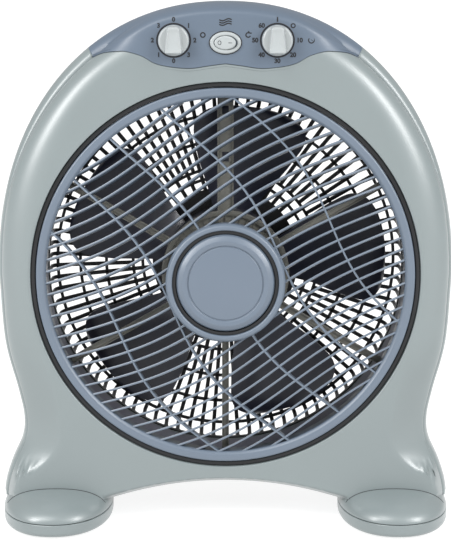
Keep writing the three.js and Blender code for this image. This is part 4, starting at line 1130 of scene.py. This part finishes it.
def marks():
    """Dial numbers, and plain signs in place of the words on the panel."""
    parts = []
    for x, reach, texts in ((-KNOB_X, 20.6, "01230123"),
                            (KNOB_X, 21.6, ["", "", "10", "20", "30", "40", "50", "60"])):
        for i, text in enumerate(texts):
            turn = PI / 2 - i * PI / 4
            if text:
                parts.append(number(text, x + reach * math.cos(turn), KNOB_Z + MARK_R * math.sin(turn)))

    def stroke(path, width=1.25):
        path = np.array(path, float)
        spots = np.column_stack([path[:, 0], panel_y(path) - 0.12, path[:, 1]])
        along = np.gradient(path, axis=0)
        along /= np.linalg.norm(along, axis=1)[:, None]
        side = np.column_stack([-along[:, 1], np.zeros(len(path)), along[:, 0]])
        parts.append(sweep(spots, side, BACKWARDS, rounded_bar(width, -0.05, 0.3)))

    def ring(x, z, radius, first=0.0, last=2 * PI):
        stroke([(x + radius * math.cos(a), z + radius * math.sin(a)) for a in np.linspace(first, last, 28)])

    stroke([(KNOB_X, KNOB_Z + 17.9), (KNOB_X, KNOB_Z + 20.2), (KNOB_X, KNOB_Z + 22.6)], 1.5)
    off = PI / 4
    ring(KNOB_X + 21.5 * math.cos(off), KNOB_Z + MARK_R * math.sin(off), 1.9)
    for k in (-1, 0, 1):
        x = np.linspace(-6, 6, 16)
        stroke(np.column_stack([x, ROCKER_Z + 20 + 2.2 * k + 1.0 * np.sin(x * PI / 6)]))
    sign_x, sign_z = 22.0, ROCKER_Z + 7.5
    ring(-sign_x, sign_z, 2.2)
    ring(sign_x, sign_z, 2.2, math.radians(70), math.radians(340))
    stroke([(sign_x + 0.2, sign_z + 3.8), (sign_x + 1.2, sign_z + 1.9), (sign_x + 3.3, sign_z + 1.7)])
    clock_x = KNOB_X + 33.0
    ring(clock_x, KNOB_Z + 0.2, 2.8)
    stroke([(clock_x, KNOB_Z + 2.2), (clock_x, KNOB_Z + 0.2), (clock_x + 1.5, KNOB_Z - 0.6)], 0.6)
    add("panel_marks", bundle(parts), "mark", "housing")


# ------------------------------------------------------------ build
front_shell()
grip_recess(rear_shell())
control_panel()
air_duct()
track_ring()
louver()
rear_grille()
impeller()
spinner_nut()
motor_bridge()
plain_round_pieces()
motor_cups()
cord_gland()
for i in range(1, 5):
    screw(f"housing_screw_{i}")
for side in ("left", "right"):
    for end in ("front", "rear"):
        pad(f"pad_{side}_{end}")
shoe("left", -1)
shoe("right", 1)
ankle_shade_line("left", -1)
ankle_shade_line("right", 1)
knob("speed_knob", -KNOB_X, "speed_dial")
knob("timer_knob", KNOB_X, "timer_dial")
rocker_bezel()
rocker()
marks()

slots = {entry["node"]: entry["material_slot"] for entry in frame["record"]["subparts"]}
for node, cad_object in frame["nodes"].items():
    cad_object.data.materials.clear()
    cad_object.data.materials.append(LOOKS[slots[node]])


# ------------------------------------------------------------ floor, light and camera
def floor():
    mesh = bpy.data.meshes.new("floor")
    reach = 60.0
    mesh.from_pydata([(-reach, -reach, 0), (reach, -reach, 0), (reach, reach, 0), (-reach, reach, 0)], [],
                     [(0, 1, 2, 3)])
    plane = bpy.data.objects.new("floor", mesh)
    bpy.context.scene.collection.objects.link(plane)
    bright = material("floor", (150, 150, 150), 0.8, mottle=0.004, grain=0.0)
    glow = bright.node_tree.nodes["Principled BSDF"].inputs
    glow["Emission Color"].default_value = (1, 1, 1, 1)
    glow["Emission Strength"].default_value = 0.8
    mesh.materials.append(bright)


def softbox(name, place, size, power, aim):
    light = bpy.data.lights.new(name, "AREA")
    light.shape = "RECTANGLE"
    light.size, light.size_y = size
    light.energy = power
    lamp = bpy.data.objects.new(name, light)
    lamp.location = place
    lamp.rotation_euler = (Vector(aim) - Vector(place)).to_track_quat("-Z", "Y").to_euler()
    bpy.context.scene.collection.objects.link(lamp)


def sun(name, azimuth, elevation, power, width):
    """Wide soft light from one direction, as a large softbox gives. Azimuth 0 shines along +Y."""
    light = bpy.data.lights.new(name, "SUN")
    light.energy = power
    light.angle = math.radians(width)
    lamp = bpy.data.objects.new(name, light)
    a, e = math.radians(azimuth), math.radians(elevation)
    shine = Vector((math.sin(a) * math.cos(e), math.cos(a) * math.cos(e), -math.sin(e)))
    lamp.rotation_euler = shine.to_track_quat("-Z", "Y").to_euler()
    bpy.context.scene.collection.objects.link(lamp)


floor()
AIM = (0, 0, AXIS_Z * MM)
sun("key", 35, 52, 1.3, 30)
sun("fill", -50, 38, 0.8, 40)
softbox("left_box", (-1.5, -1.05, 1.1), (0.5, 1.0), 30, AIM)
softbox("right_box", (1.5, -1.05, 1.1), (0.5, 1.0), 27, AIM)

world = bpy.data.worlds.new("studio")
bpy.context.scene.world = world
world.use_nodes = True
world.node_tree.nodes["Background"].inputs["Color"].default_value = (1, 1, 1, 1)
world.node_tree.nodes["Background"].inputs["Strength"].default_value = 0.55
bpy.context.scene.view_settings.view_transform = "Standard"

camera_data = bpy.data.cameras.new("camera")
camera = bpy.data.objects.new("camera", camera_data)
bpy.context.scene.collection.objects.link(camera)
camera.location = (0, -1.530, 0.5395)
camera.rotation_euler = (math.radians(90 - 7.5), 0, 0)
camera_data.sensor_width = 36
camera_data.lens = 102.75
camera_data.shift_y = -0.152
camera_data.clip_start, camera_data.clip_end = 0.05, 200
bpy.context.scene.camera = camera
